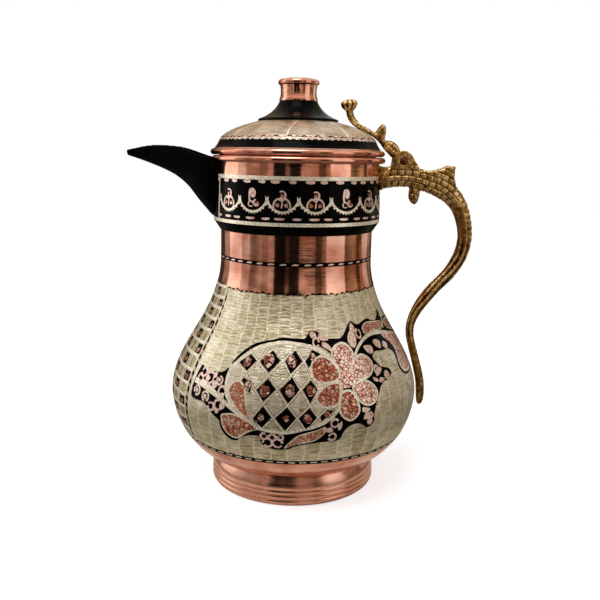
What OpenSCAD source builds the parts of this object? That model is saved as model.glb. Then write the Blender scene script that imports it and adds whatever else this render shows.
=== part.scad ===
// Coffee pot of spun copper: a pear-shaped body on a moulded foot, a stepped collar with an
// open beak, a cast brass handle, and a hinged lid that a brass thumb lever carries.
// Millimetres. The origin is on the pot's upright axis at the bottom of the foot, the handle
// is towards +X and the beak towards -X.

/* [Foot] */
// Radius of the foot at the table
foot_r = 52.7; // [51:0.1:58]
// Height of the foot up to the crease under the belly
foot_h = 16.6; // [15:0.1:22]
// Radius at the crease between foot and belly
waist_r = 49.7; // [46:0.1:51]
// Thickness of the foot's wall
foot_wall = 2.2; // [1.6:0.1:3]
// Number of turned beads around the foot
foot_beads = 4; // [2:1:4]
// Section radius of each bead on the foot
foot_bead_r = 1.5; // [1:0.1:1.8]

/* [Body] */
// Largest radius of the belly
belly_r = 77.9; // [70:0.1:86]
// Height from the crease to the widest part of the belly
belly_h = 42.8; // [36:0.1:54]
// Height from the widest part up to the straight neck
shoulder_h = 84.6; // [74:0.1:100]
// Outer radius of the neck
neck_r = 46.9; // [43:0.1:48]
// Length of the straight neck below the collar
neck_h = 16.6; // [10:0.1:30]
// Thickness of the body's copper
wall = 1.2; // [0.8:0.1:1.8]

/* [Collar] */
// Outer radius of the collar just under the rim
collar_top_r = 50; // [48.8:0.1:54]
// How much wider the collar is at its lower corner
collar_lean = 1.2; // [0.4:0.1:2.4]
// Height of the sloping part under the collar
collar_slope_h = 5.6; // [4:0.1:9]
// Height of the collar from the neck to the top of the rim
collar_h = 43.9; // [38:0.1:52]
// Thickness of the collar's copper
collar_wall = 1.2; // [0.8:0.1:1.6]
// Section radius of the rolled rim
rim_r = 1.85; // [1.6:0.05:2.4]
// Radius of the wires inside the rolled edges
wire_r = 0.9; // [0.6:0.05:1.1]

/* [Beak] */
// Reach of the beak from the axis to its tip
beak_reach = 104; // [90:1:120]
// Half of the width where the beak meets the collar
beak_half_w = 20.5; // [15:0.1:23]
// Half of the width at the tip
beak_tip_half_w = 2.8; // [2:0.1:5]
// Depth of the beak at its root, below the rim
beak_depth = 37; // [30:0.1:38]
// Height of the beak's hump above the rim
beak_hump = 5.4; // [3:0.1:8]
// Thickness of the beak's sheet
beak_wall = 1; // [0.7:0.1:1.4]

/* [Lid] */
// How far the lid's rolled edge stands out past the collar's upper part
lid_lip = 3; // [2.6:0.1:5]
// Section radius of the lid's rolled edge
lid_edge_r = 1.8; // [1.5:0.05:2.2]
// Height of the sloping band above the rolled edge
lid_band_h = 5.6; // [4:0.1:9]
// Width of the flange from the rolled edge in to the top of the sloping band
lid_flange = 5.6; // [4.6:0.1:7]
// Height of the domed part above the band
lid_dome_h = 11; // [8:0.1:16]
// Radius of the flat seat on top of the dome
lid_seat_r = 24.5; // [24.5:0.1:28]
// Thickness of the lid's copper
lid_wall = 1; // [0.7:0.1:1.4]
// Gap between the closed lid and the rim
lid_gap = 0.3; // [0.2:0.05:0.5]
// Gap between the lid's locating ring and the mouth
ring_gap = 1; // [0.7:0.1:1.5]
// Depth of the locating ring below the rim
ring_depth = 5.5; // [4:0.1:7]

/* [Knob] */
// Radius of the black cone's foot
cone_r = 24.3; // [20:0.1:24.4]
// Height of the black cone
cone_h = 11.6; // [9:0.1:16]
// Radius where the cone meets the knob
knob_foot_r = 11.6; // [10:0.1:13]
// Radius of the knob's waist
knob_waist_r = 10.8; // [9:0.1:11.2]
// Radius of the knob's top bead
knob_r = 12.4; // [11.8:0.1:15]
// Height of the copper knob
knob_h = 13.4; // [11:0.1:18]
// Diameter of the stud that holds the knob
stud_d = 5; // [3:0.1:6]
// Thickness of the nut on the stud
nut_h = 4; // [3:0.1:5]

/* [Hinge] */
// Distance from the collar's top radius out to the hinge pin
hinge_out = 14.3; // [13.5:0.1:18]
// Height of the hinge pin below the top of the rim
hinge_drop = 1.7; // [0:0.1:3]
// Diameter of the hinge pin
pin_d = 3; // [2:0.1:4]
// Radius of the two ears on the handle
ear_r = 6.2; // [5.6:0.1:7]
// Width of the lever's knuckle between the ears
knuckle_w = 5; // [4:0.1:6]
// Radial clearance of the pin in its bores
pin_clearance = 0.05; // [0.02:0.01:0.1]
// Gap between the knuckle and each ear
side_gap = 0.3; // [0.2:0.05:0.5]

/* [Handle] */
// Half of the width of the handle's bar at the collar
bar_half_w = 5.8; // [5:0.1:7]
// Half of the height of the bar
bar_half_h = 6.3; // [5.5:0.1:7]
// Reach of the grip beyond the hinge pin
grip_reach = 41; // [36:0.1:50]
// Half of the thickness of the grip
grip_half_t = 4.6; // [3.5:0.1:5.5]
// Half of the width of the grip
grip_half_w = 5; // [4:0.1:6.5]
// Fall of the grip from the bar to where it bends in towards the belly
grip_fall = 69; // [60:0.5:76]
// Height above the belly's widest part where the tail begins
tail_rise = 55; // [48:0.5:60]
// Gap between the tail of the handle and the belly
tail_gap = 1.2; // [0.6:0.1:4]
// Half of the thickness of the tail
tail_half_t = 2.7; // [2:0.1:3.5]
// Thickness of the plate that is riveted to the collar
plate_t = 2.1; // [1.5:0.1:3]
// Half of the plate's width around the collar, in degrees
plate_angle = 13; // [11.5:0.5:18]

/* [Lever] */
// Half of the width of the lever's arm
lever_half_w = 3.2; // [2.6:0.1:4.2]
// Half of the width of the thumb lug
lug_half_w = 4.2; // [3:0.1:6]
// Radius of the flower bud at the lever's end
bud_r = 4.8; // [3.5:0.1:6]
// Height of the flower bud above the lid's sloping band
bud_rise = 21.2; // [17:0.1:26]
// Distance from the lever's foot on the lid inward to the bud
bud_back = 15.6; // [11:0.1:20]
// Distance of the thumb lug above the hinge pin, and as far inward
lug_rise = 13.4; // [12:0.1:16]
// Height of the lump beside the knuckle above the hinge pin
lump_rise = 11.6; // [9:0.1:14]

/* [Rivets] */
// Diameter of the rivets that hold the handle
rivet_d = 3; // [2:0.1:3.2]
// Angle from the handle's middle to each of its rivets
rivet_angle = 9.6; // [9:0.1:10]
// Diameter of the rivets that hold the lever
lever_rivet_d = 2.2; // [1.6:0.1:2.6]
// Thickness of the burrs under the rivets' tails
burr_t = 0.8; // [0.5:0.1:1.2]

/* [Hidden] */

$fn = 96;
solder_gap = 0.1;   // room for the solder between two sheets
hole_gap = 0.05;    // room around a rivet or a stud in its hole
tiny = 0.02;        // keeps a curved seat clear of the flat that rests on it
big = 400;          // longer than the whole pot

copper = "#C9714F";
black = "#141414";
cream = "#C9C09A";
brass = "#A67C2D";

// Radii that follow the collar
collar_r = collar_top_r + collar_lean;
lid_r = collar_top_r + lid_lip;
lid_band_r = lid_r - lid_flange;

// Levels, from the table up
crease_z = foot_h;
belly_z = crease_z + belly_h;
neck_z = belly_z + shoulder_h;
collar_z = neck_z + neck_h;
corner_z = collar_z + collar_slope_h;
rim_z = collar_z + collar_h;
lid_z = rim_z + lid_gap;
band_z = lid_z + 2 * lid_edge_r;
dome_z = band_z + lid_band_h;
seat_z = dome_z + lid_dome_h;
knob_z = seat_z + cone_h;
top_z = knob_z + knob_h;

// ---------------------------------------------------------------- curves and skins

function bezier(p, t) =
    pow(1 - t, 3) * p[0] + 3 * pow(1 - t, 2) * t * p[1]
    + 3 * (1 - t) * t * t * p[2] + pow(t, 3) * p[3];

function bezier_way(p, t) =
    pow(1 - t, 2) * (p[1] - p[0]) + 2 * (1 - t) * t * (p[2] - p[1]) + t * t * (p[3] - p[2]);

// Unit vector to the left of a direction in the plane
function left(v) = [-v[1], v[0]] / norm(v);

// Points along a bezier, moved to its left by an offset
function bezier_line(p, offset, steps) = [
    for (i = [0:steps]) let (t = i / steps) bezier(p, t) + offset * left(bezier_way(p, t))
];

function reversed(list) = [for (i = [len(list) - 1:-1:0]) list[i]];

// Catmull-Rom spline through rows of equal length; u runs from 0 to the last row's index
function row_at(rows, i) = rows[max(0, min(len(rows) - 1, i))];
function spline(rows, u) =
    let (i = min(len(rows) - 2, floor(u)), t = u - i,
         a = row_at(rows, i - 1), b = row_at(rows, i),
         c = row_at(rows, i + 1), d = row_at(rows, i + 2))
    0.5 * (2 * b + (c - a) * t + (2 * a - 5 * b + 4 * c - d) * t * t
           + (3 * b - a - 3 * c + d) * t * t * t);

// Closed skin over rings that all have the same number of points
module skin(rings) {
    n = len(rings);
    m = len(rings[0]);
    polyhedron(
        points = [for (ring = rings) each ring],
        faces = [
            [for (j = [m - 1:-1:0]) j],
            [for (j = [0:m - 1]) (n - 1) * m + j],
            for (i = [0:n - 2], j = [0:m - 1])
                let (k = (j + 1) % m) [i * m + j, i * m + k, (i + 1) * m + k],
            for (i = [0:n - 2], j = [0:m - 1])
                let (k = (j + 1) % m) [i * m + j, (i + 1) * m + k, (i + 1) * m + j]
        ]
    );
}

// Bar with an oval section along rows of [x, z, half thickness, half width]
module oval_bar(rows, steps, sides = 12) {
    last = len(rows) - 1;
    path = [for (i = [0:steps]) spline(rows, last * i / steps)];
    skin([
        for (i = [0:steps])
            let (way = path[min(i + 1, steps)] - path[max(i - 1, 0)],
                 side = left([way[0], way[1]]), p = path[i])
            [for (j = [0:sides - 1])
                let (a = 360 * j / sides)
                [p[0] + side[0] * p[2] * cos(a), p[3] * sin(a), p[1] + side[1] * p[2] * cos(a)]]
    ]);
}

// ---------------------------------------------------------------- body and foot

// The belly's outer curves, each from below to above: dish, lower belly and shoulder
crease_slope = 23.4;
dish_z = crease_z - 3.1;
dish = [
    [0.77 * waist_r, dish_z], [0.88 * waist_r, dish_z],
    [waist_r - 4 * cos(crease_slope), crease_z - 4 * sin(crease_slope)], [waist_r, crease_z]
];
belly_step = 0.92 * (belly_r - waist_r);
lower_belly = [
    [waist_r, crease_z], [waist_r + belly_step, crease_z + belly_step * tan(crease_slope)],
    [belly_r, belly_z - 0.118 * belly_h], [belly_r, belly_z]
];
shoulder = [
    [belly_r, belly_z], [belly_r, belly_z + 0.328 * shoulder_h],
    [neck_r, neck_z - 0.438 * shoulder_h], [neck_r, neck_z]
];
neck_lap = 3;

module body_shell() {
    color(cream)
    rotate_extrude() polygon([
        [0, dish_z],
        each bezier_line(dish, 0, 6),
        each bezier_line(lower_belly, 0, 16),
        each bezier_line(shoulder, 0, 22),
        [neck_r, collar_z + neck_lap],
        [neck_r - wall, collar_z + neck_lap],
        each reversed(bezier_line(shoulder, wall, 22)),
        each reversed(bezier_line(lower_belly, wall, 16)),
        each reversed(bezier_line(dish, wall, 6)),
        [0, dish_z + wall]
    ]);
}

module foot_ring() {
    seat = [for (t = [0.5:0.1:1]) bezier(dish, t) - solder_gap * left(bezier_way(dish, t))];
    pitch = 2 * foot_bead_r + 0.05;
    beads_h = foot_beads * pitch;
    core_r = foot_r - 0.8 * foot_bead_r;
    color(copper)
    rotate_extrude() {
        polygon([
            [core_r - foot_wall, 0], [core_r, 0], [core_r - 0.6, beads_h],
            [waist_r + 0.35, crease_z - 1.4],
            [waist_r + 0.15, crease_z - 0.3],
            each reversed(seat),
            [seat[0][0], dish_z - foot_wall],
            [waist_r - foot_wall - 0.5, dish_z - foot_wall],
            [core_r - 0.6 - foot_wall, beads_h - 2 * foot_bead_r]
        ]);
        for (i = [0:foot_beads - 1])
            translate([foot_r - foot_bead_r - 0.3 * i, foot_bead_r + i * pitch])
                circle(r = foot_bead_r, $fn = 32);
    }
}

// ---------------------------------------------------------------- collar, rim and beak

rim_mid = [collar_top_r + rim_r - 0.2, rim_z - rim_r];
mouth_r = collar_top_r - collar_wall;
collar_edge = 0.5;

// Outer radius of the collar's upright wall at a height
function collar_at(z) = collar_r + (collar_top_r - collar_r) * (z - corner_z) / (rim_mid[1] - corner_z);

// The mouth that the beak opens in the collar: a round-bottomed slot through the wall
beak_bottom_z = rim_z - beak_depth;
module beak_slot(half_w, bottom_z) {
    translate([-collar_r, 0, 0]) rotate([0, -90, 0]) linear_extrude(height = 24, center = true) {
        translate([bottom_z + half_w, 0]) circle(r = half_w);
        translate([bottom_z + half_w, -half_w]) square([big, 2 * half_w]);
    }
}

module neck_collar() {
    color(black)
    difference() {
        rotate_extrude() {
            difference() {
                union() {
                    polygon([
                        [neck_r + solder_gap, collar_z],
                        [neck_r + solder_gap + collar_edge, collar_z],
                        [collar_r, corner_z],
                        [collar_top_r, rim_mid[1] - 0.3],
                        [collar_top_r, rim_mid[1] + 0.9],
                        [mouth_r, rim_mid[1] + 0.9],
                        [collar_r - collar_wall, corner_z + 0.4],
                        [neck_r + solder_gap, collar_z + collar_wall + 0.4]
                    ]);
                    translate(rim_mid) circle(r = rim_r, $fn = 32);
                }
                translate(rim_mid) circle(r = wire_r + hole_gap, $fn = 32);
            }
        }
        beak_slot(beak_half_w - beak_wall - 0.5, beak_bottom_z + beak_wall + 1.5);
        for (side = [-1, 1]) rivet_hole(side);
    }
}

module rim_wire() {
    slot_angle = asin((beak_half_w - beak_wall) / rim_mid[0]) + 1.5;
    color("#8A8A86")
    rotate([0, 0, 180 + slot_angle]) rotate_extrude(angle = 360 - 2 * slot_angle)
        translate(rim_mid) circle(r = wire_r, $fn = 32);
}

// Rows of [share of the way from root to tip, bottom, top, half width]; heights are from the rim
beak_root = 44;
beak_run = beak_reach - beak_root;
beak_rows = [
    [0.00, -beak_depth - 1.5, -0.7, beak_half_w],
    [0.12, -beak_depth - 0.3, -0.7, beak_half_w],
    [0.19, -0.89 * beak_depth, -0.6, 0.97 * beak_half_w],
    [0.28, -0.72 * beak_depth, 0.20 * beak_hump, 0.90 * beak_half_w],
    [0.38, -0.51 * beak_depth, 0.60 * beak_hump, 0.80 * beak_half_w],
    [0.50, -0.35 * beak_depth, 0.92 * beak_hump, 0.67 * beak_half_w],
    [0.62, -0.25 * beak_depth, beak_hump, 0.53 * beak_half_w],
    [0.75, -0.165 * beak_depth, 0.95 * beak_hump, 0.38 * beak_half_w],
    [0.88, -0.09 * beak_depth, 0.70 * beak_hump, 0.25 * beak_half_w],
    [1.00, -0.03 * beak_depth, 0.42 * beak_hump, beak_tip_half_w]
];
beak_curl = 104;    // the sides turn slightly inward past the upright, in degrees

function beak_ring(row, sides) =
    let (tall = (row[2] - row[1]) / (1 - cos(beak_curl)), mid_z = rim_z + row[1] + tall,
         x = -beak_root - row[0] * beak_run)
    [
        for (j = [-sides:sides]) let (a = beak_curl * j / sides)
            [x, row[3] * sin(a), mid_z - tall * cos(a)],
        for (j = [sides:-1:-sides]) let (a = beak_curl * j / sides)
            [x, (row[3] - beak_wall) * sin(a), mid_z - (tall - beak_wall) * cos(a)]
    ];

module beak() {
    steps = 24;
    last = len(beak_rows) - 1;
    color(black)
    difference() {
        skin([for (i = [0:steps]) beak_ring(spline(beak_rows, last * i / steps), 9)]);
        rotate_extrude() polygon([
            [0, beak_bottom_z - 20], [collar_at(beak_bottom_z - 20) + solder_gap, beak_bottom_z - 20],
            [collar_at(rim_mid[1] - rim_r) + solder_gap, rim_mid[1] - rim_r],
            [rim_mid[0] + rim_r + solder_gap, rim_mid[1] - rim_r],
            [rim_mid[0] + rim_r + solder_gap, rim_z + 20], [0, rim_z + 20]
        ]);
    }
}

// ---------------------------------------------------------------- handle, hinge pin and rivets

hinge_x = collar_top_r + hinge_out;
hinge_z = rim_z - hinge_drop;
bar_z = hinge_z - 9.4;
ear_in = knuckle_w / 2 + side_gap;
ear_out = bar_half_w;
knuckle_r = 4.7;
grip_x = hinge_x + grip_reach;
tail_x = belly_r + tail_gap + tail_half_t;
rivet_z = bar_z - 0.7;

grip_in = 0.745 * (grip_x - tail_x);    // how far the grip has come in where it bends

// Rows of [x, z, half thickness, half width] along the middle of the casting
handle_rows = [
    [collar_top_r + 2.2, bar_z - 0.9, bar_half_h + 0.5, bar_half_w],
    [hinge_x - 4, bar_z, bar_half_h, bar_half_w],
    [hinge_x + 6, bar_z - 0.2, bar_half_h, bar_half_w],
    [hinge_x + 15, bar_z - 2.6, bar_half_h, bar_half_w],
    [hinge_x + 24, bar_z - 5.9, bar_half_h + 0.3, bar_half_w],
    [grip_x - 9, bar_z - 0.172 * grip_fall, grip_half_t + 1.2, grip_half_w],
    [grip_x - 3.2, bar_z - 0.304 * grip_fall, grip_half_t + 0.5, grip_half_w],
    [grip_x, bar_z - 0.507 * grip_fall, grip_half_t, grip_half_w],
    [grip_x - 2, bar_z - 0.688 * grip_fall, grip_half_t - 0.2, grip_half_w],
    [grip_x - 0.49 * grip_in, bar_z - 0.862 * grip_fall, grip_half_t - 0.6, grip_half_w],
    [grip_x - grip_in, bar_z - grip_fall, grip_half_t - 0.8, grip_half_w],
    [tail_x - 1.6, belly_z + tail_rise, tail_half_t + 0.9, grip_half_w - 0.2],
    [tail_x - 6.7, belly_z + 0.818 * tail_rise, tail_half_t + 0.1, grip_half_w - 0.6],
    [tail_x - 8.1, belly_z + 0.664 * tail_rise, tail_half_t - 0.1, grip_half_w - 0.8],
    [tail_x - 6.5, belly_z + 0.509 * tail_rise, tail_half_t - 0.1, grip_half_w - 0.8],
    [tail_x - 3, belly_z + 0.291 * tail_rise, tail_half_t, grip_half_w - 0.6],
    [tail_x, belly_z + 4, tail_half_t + 0.1, grip_half_w - 0.6],
    [tail_x + 0.7, belly_z - 5, tail_half_t, grip_half_w - 0.8],
    [tail_x + 0.5, belly_z - 10.5, tail_half_t - 0.6, grip_half_w - 1.6],
    [tail_x - 0.1, belly_z - 12.6, 0.8, 1.2]
];
spur_rows = [
    [hinge_x + 8.6, bar_z - 4, 3.6, 4],
    [hinge_x + 7.8, bar_z - 11, 3.4, 3.6],
    [hinge_x + 8, bar_z - 14, 2.9, 3],
    [hinge_x + 8.6, bar_z - 16.6, 1, 1.2]
];

// Turns its children to point out of the collar at the angle of one of the two rivets
module at_rivet(side) {
    rotate([0, 0, side * rivet_angle]) translate([0, 0, rivet_z]) rotate([0, 90, 0]) children();
}

module rivet_hole(side) {
    at_rivet(side) translate([0, 0, mouth_r - 8]) cylinder(d = rivet_d + 2 * hole_gap, h = 24, $fn = 48);
}

// Head block behind the hinge, where the grip springs off
module head_block() {
    translate([hinge_x, bar_half_w, hinge_z]) rotate([90, 0, 0]) linear_extrude(height = 2 * bar_half_w)
        polygon([
            [9, -6], [15, -5.4], [18.5, -5.6], [23, -4.6], [28.5, -2.2],
            [31.6, -2.8], [31.2, -8.5], [33, -17], [22, -20], [12, -14]
        ]);
}

module ears() {
    translate([hinge_x, 0, hinge_z]) rotate([90, 0, 0]) {
        cylinder(r = ear_r, h = 2 * ear_out, center = true, $fn = 64);
        linear_extrude(height = 2 * ear_out, center = true)
            polygon([[-ear_r, 0], [ear_r - 0.3, 2], [9.5, -3.5], [9.5, -8], [-7.5, -8], [-7, -3.5]]);
    }
}

module handle_plate() {
    z0 = bar_z - 8;
    z1 = min(bar_z + 6.2, rim_mid[1] - rim_r - 0.8);
    rotate([0, 0, -plate_angle]) rotate_extrude(angle = 2 * plate_angle) polygon([
        [collar_at(z0) + solder_gap, z0], [collar_at(z0) + plate_t - 0.4, z0],
        [collar_at(z0) + plate_t, z0 + 0.8], [collar_at(z1) + plate_t, z1 - 0.8],
        [collar_at(z1) + plate_t - 0.4, z1], [collar_at(z1) + solder_gap, z1]
    ]);
}

module handle() {
    color(brass)
    difference() {
        union() {
            oval_bar(handle_rows, 40);
            oval_bar(spur_rows, 6, 12);
            head_block();
            ears();
            handle_plate();
        }
        // The bar is cut back to the collar's own outer surface
        rotate_extrude() polygon([
            [0, bar_z - 20], [collar_at(bar_z - 20) + solder_gap, bar_z - 20],
            [collar_at(rim_z) + solder_gap, rim_z], [0, rim_z]
        ]);
        // Slot between the ears, deep enough for the knuckle to turn
        translate([hinge_x, 0, hinge_z]) rotate([90, 0, 0]) {
            cylinder(r = knuckle_r + 0.5, h = 2 * ear_in, center = true, $fn = 64);
            cylinder(d = pin_d + 2 * pin_clearance, h = big, center = true, $fn = 48);
        }
        translate([hinge_x - 12, -ear_in, hinge_z - 1.2]) cube([24, 2 * ear_in, 20]);
        for (side = [-1, 1]) rivet_hole(side);
    }
}

// Rivet along its own axis: a domed head at head_z, the shank, and a peened tail at tail_z
module rivet(d, tail_z, head_z) {
    rotate_extrude($fn = 48) polygon([
        [0, tail_z - 0.4 * d], [0.45 * d, tail_z - 0.3 * d], [0.78 * d, tail_z],
        [d / 2, tail_z], [d / 2, head_z], [0.8 * d, head_z],
        [0.62 * d, head_z + 0.28 * d], [0.3 * d, head_z + 0.42 * d], [0, head_z + 0.46 * d]
    ]);
}

plate_out = collar_at(rivet_z) + plate_t;
cone_bite = 0.12;   // the collar leans, so a square head would bite into it without this gap
// A flat burr bridges the round wall, so its rim would bite in without this gap
function burr_gap(wall_r) = pow(0.95 * rivet_d, 2) / (2 * wall_r) + cone_bite;
burr_out = collar_at(rivet_z) - collar_wall - burr_gap(mouth_r);

module handle_rivets() {
    color("#B8683F")
    for (side = [-1, 1]) at_rivet(side) rivet(rivet_d, burr_out - burr_t - tiny, plate_out + cone_bite);
}

module handle_burrs() {
    color("#B8683F")
    for (side = [-1, 1]) at_rivet(side) difference() {
        translate([0, 0, burr_out - burr_t]) cylinder(r = 0.95 * rivet_d, h = burr_t, $fn = 48);
        cylinder(d = rivet_d + 2 * hole_gap, h = big, center = true, $fn = 48);
    }
}

module hinge_pin() {
    color("#7A4630")
    translate([hinge_x, 0, hinge_z]) rotate([90, 0, 0])
        rivet(pin_d, -ear_out - tiny, ear_out + tiny);
}

// ---------------------------------------------------------------- lid

edge_mid = [lid_r - lid_edge_r, lid_z + lid_edge_r];
dome = [
    [lid_seat_r, seat_z - 0.2], [lid_seat_r + 0.38 * (lid_band_r - lid_seat_r), seat_z - 0.22 * lid_dome_h],
    [lid_seat_r + 0.83 * (lid_band_r - lid_seat_r), dome_z + 0.51 * lid_dome_h], [lid_band_r, dome_z]
];
band = [
    [lid_band_r, dome_z], [lid_band_r + 0.35 * (edge_mid[0] - lid_band_r), dome_z - 0.52 * lid_band_h],
    [lid_band_r + 0.6 * (edge_mid[0] - lid_band_r), band_z + 0.2 * lid_band_h], [edge_mid[0], band_z]
];
ring_r = mouth_r - ring_gap;

// Rolled edge, from its top round to where the sheet comes out of it
edge_roll = [for (i = [0:24]) edge_mid + lid_edge_r * [cos(90 - 13 * i), sin(90 - 13 * i)]];

module lid_profile() {
    difference() {
        polygon([
            [0, seat_z], [lid_seat_r - 0.4, seat_z],
            each bezier_line(dome, 0, 10),
            each bezier_line(band, 0, 6),
            each edge_roll,
            for (i = [5:-1:0]) bezier_line(band, -lid_wall, 6)[i],
            each reversed(bezier_line(dome, -lid_wall, 10)),
            [lid_seat_r - 0.6, seat_z - lid_wall], [0, seat_z - lid_wall]
        ]);
        translate(edge_mid) circle(r = wire_r + hole_gap, $fn = 32);
    }
}

module lid_shell() {
    color(cream)
    difference() {
        rotate_extrude() lid_profile();
        stud_hole();
        // Turned, so that the facets of the holes don't fall on the lid's own
        for (row = lever_rivet_rows) at_lever_rivet(row) rotate([0, 0, 4])
            cylinder(d = lever_rivet_d + 2 * hole_gap, h = 6 * lid_wall, center = true, $fn = 32);
    }
}

module lid_wire() {
    color("#8A8A86")
    rotate_extrude() translate(edge_mid) circle(r = wire_r, $fn = 32);
}

module lid_ring() {
    ring_top = band_z + 0.25 * lid_band_h;
    color(copper)
    rotate_extrude() polygon([
        [ring_r - 0.9, rim_z - ring_depth], [ring_r - 0.2, rim_z - ring_depth],
        [ring_r, rim_z - ring_depth + 0.6], [ring_r, ring_top - 1.2],
        [ring_r - 0.3, ring_top], [ring_r - 0.9, ring_top]
    ]);
}

// ---------------------------------------------------------------- knob and its fixing

stud_r = stud_d / 2;
stud_hole_r = stud_r + 0.25;
washer_t = 1;
washer_z = seat_z - lid_wall;
nut_z = washer_z - washer_t;
cone_wall = 0.9;
cone_step = 1.2;
cone_curve = [
    [cone_r - 0.9, seat_z + cone_step + 0.4],
    [knob_foot_r + 0.5 * (cone_r - knob_foot_r), seat_z + 0.3 * cone_h],
    [knob_foot_r + 0.16 * (cone_r - knob_foot_r), seat_z + 0.6 * cone_h], [knob_foot_r, knob_z]
];

module stud_hole() {
    cylinder(r = stud_hole_r, h = knob_z + 1, $fn = 48);
}

module knob_cone() {
    color(black)
    difference() {
        rotate_extrude() polygon([
            [cone_r - 2 * cone_wall, seat_z], [cone_r, seat_z], [cone_r, seat_z + cone_step],
            each bezier_line(cone_curve, 0, 12),
            [0, knob_z], [0, knob_z - cone_wall],
            each reversed(bezier_line(cone_curve, cone_wall, 12))
        ]);
        stud_hole();
    }
}

module knob_cap() {
    neck = [
        [knob_foot_r, knob_z + 1.4], [knob_waist_r - 0.3, knob_z + 0.3 * knob_h],
        [knob_waist_r - 0.1, knob_z + 0.5 * knob_h], [knob_r - 1.2, knob_z + 0.7 * knob_h]
    ];
    bead_r = 0.14 * knob_h;
    color(copper)
    difference() {
        rotate_extrude() {
            polygon([
                [0, knob_z], [knob_foot_r - 0.3, knob_z], [knob_foot_r, knob_z + 0.4],
                each bezier_line(neck, 0, 8),
                [knob_r - bead_r, top_z - 2 * bead_r], [knob_r - bead_r, top_z - 0.3],
                [knob_r - 2.2 * bead_r, top_z], [0, top_z]
            ]);
            translate([knob_r - bead_r, top_z - bead_r - 0.5]) circle(r = bead_r, $fn = 32);
        }
        translate([0, 0, knob_z - 1]) cylinder(r = stud_r + hole_gap, h = 0.65 * knob_h + 1, $fn = 48);
    }
}

module knob_stud() {
    stud_z = nut_z - nut_h - 1;
    color("#B9B2A0")
    translate([0, 0, stud_z]) cylinder(r = stud_r, h = knob_z + 0.6 * knob_h - stud_z, $fn = 48);
}

module knob_washer() {
    color("#B9B2A0")
    difference() {
        translate([0, 0, washer_z - washer_t]) cylinder(r = 2.1 * stud_r, h = washer_t, $fn = 64);
        cylinder(r = stud_r + 0.1, h = big, $fn = 48);
    }
}

module knob_nut() {
    color("#B9B2A0")
    difference() {
        translate([0, 0, nut_z - nut_h]) cylinder(r = 1.85 * stud_r, h = nut_h, $fn = 6);
        cylinder(r = stud_r + hole_gap, h = big, $fn = 48);
    }
}

// ---------------------------------------------------------------- thumb lever

// Rows of [x, z, half thickness, half width] from the bud to the hinge
arm_x = lid_band_r - 1.2;
bud_x = arm_x - bud_back;
bud_z = dome_z + bud_rise;
lever_rows = [
    [bud_x + 0.2, bud_z - 0.7, 2.0, 2.0],
    [bud_x + 0.4, bud_z - 4.2, 2.1, 2.1],
    [bud_x + 2, bud_z - 8.2, 2.0, 2.4],
    [bud_x + 0.36 * bud_back, dome_z + 0.453 * bud_rise, 1.7, lever_half_w],
    [bud_x + 0.68 * bud_back, dome_z + 0.325 * bud_rise, 1.4, lever_half_w],
    [arm_x, dome_z + 4.2, 1.4, lever_half_w],
    [arm_x + 4.6, dome_z + 0.9, 1.8, lever_half_w],
    [hinge_x - 9.6, hinge_z + 8, 2.3, 2.9],
    [hinge_x - 5.4, hinge_z + 4.4, 2.7, knuckle_w / 2],
    [hinge_x, hinge_z, 3, knuckle_w / 2]
];

// Points on the lid where the lever's two rivets stand, as shares of the dome's curve
lever_rivet_rows = [0.45, 0.68];
module at_lever_rivet(share) {
    p = bezier(dome, share);
    way = bezier_way(dome, share);
    translate([p[0], 0, p[1]]) rotate([0, atan2(-way[1], way[0]), 0]) children();
}

// Lug that the thumb presses
module thumb_lug() {
    lug_x = hinge_x - lug_rise;
    lug_z = hinge_z + lug_rise;
    oval_bar([
        [lug_x - 1.6, lug_z, 3.3, lug_half_w], [lug_x - 0.4, lug_z + 3.5, 3, lug_half_w],
        [lug_x + 0.4, lug_z + 6.4, 2.1, 0.8 * lug_half_w], [lug_x + 0.8, lug_z + 8.1, 0.7, 0.3 * lug_half_w]
    ], 6, 12);
}

// Knuckle-side lump on the arm
module arm_lump() {
    h = lump_rise;
    oval_bar([
        [hinge_x - 0.862 * h, hinge_z + h, 0.8, 1.2],
        [hinge_x - 0.707 * h, hinge_z + 0.879 * h, 1.9, 2.9],
        [hinge_x - 0.431 * h, hinge_z + 0.69 * h, 2, 2.6], [hinge_x - 0.259 * h, hinge_z + 0.448 * h, 1.4, 2]
    ], 6, 12);
}

module flower_bud() {
    translate([bud_x, 0, bud_z]) rotate([0, -8, 0]) rotate_extrude($fn = 40) polygon([
        [0, -3.4], [0.42 * bud_r, -3.2], [0.8 * bud_r, -1.4], [bud_r, 0.6], [0.94 * bud_r, 1.9],
        [0.7 * bud_r, 2.7], [0.35 * bud_r, 3.2], [0, 3.3]
    ]);
}

module lid_lever() {
    color(brass)
    difference() {
        union() {
            oval_bar(lever_rows, 27);
            thumb_lug();
            arm_lump();
            flower_bud();
            translate([hinge_x, 0, hinge_z]) rotate([90, 0, 0])
                cylinder(r = knuckle_r, h = knuckle_w, center = true, $fn = 64);
        }
        // The arm's underside is fitted to the lid
        rotate_extrude() polygon([
            [0, band_z], [0, seat_z + solder_gap],
            each bezier_line(dome, solder_gap, 10), each bezier_line(band, solder_gap, 6)
        ]);
        translate([hinge_x, 0, hinge_z]) rotate([90, 0, 0])
            cylinder(d = pin_d + 2 * pin_clearance, h = big, center = true, $fn = 48);
        for (row = lever_rivet_rows) at_lever_rivet(row) {
            cylinder(d = lever_rivet_d + 2 * hole_gap, h = 20, center = true, $fn = 32);
            translate([0, 0, lever_rivet_head]) cylinder(d = 1.6 * lever_rivet_d + 0.4, h = 6, $fn = 32);
        }
    }
}

lever_rivet_head = 2.2;     // height of the spot faces in the arm above the lid
lever_burr_top = -lid_wall - 0.15;

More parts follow.
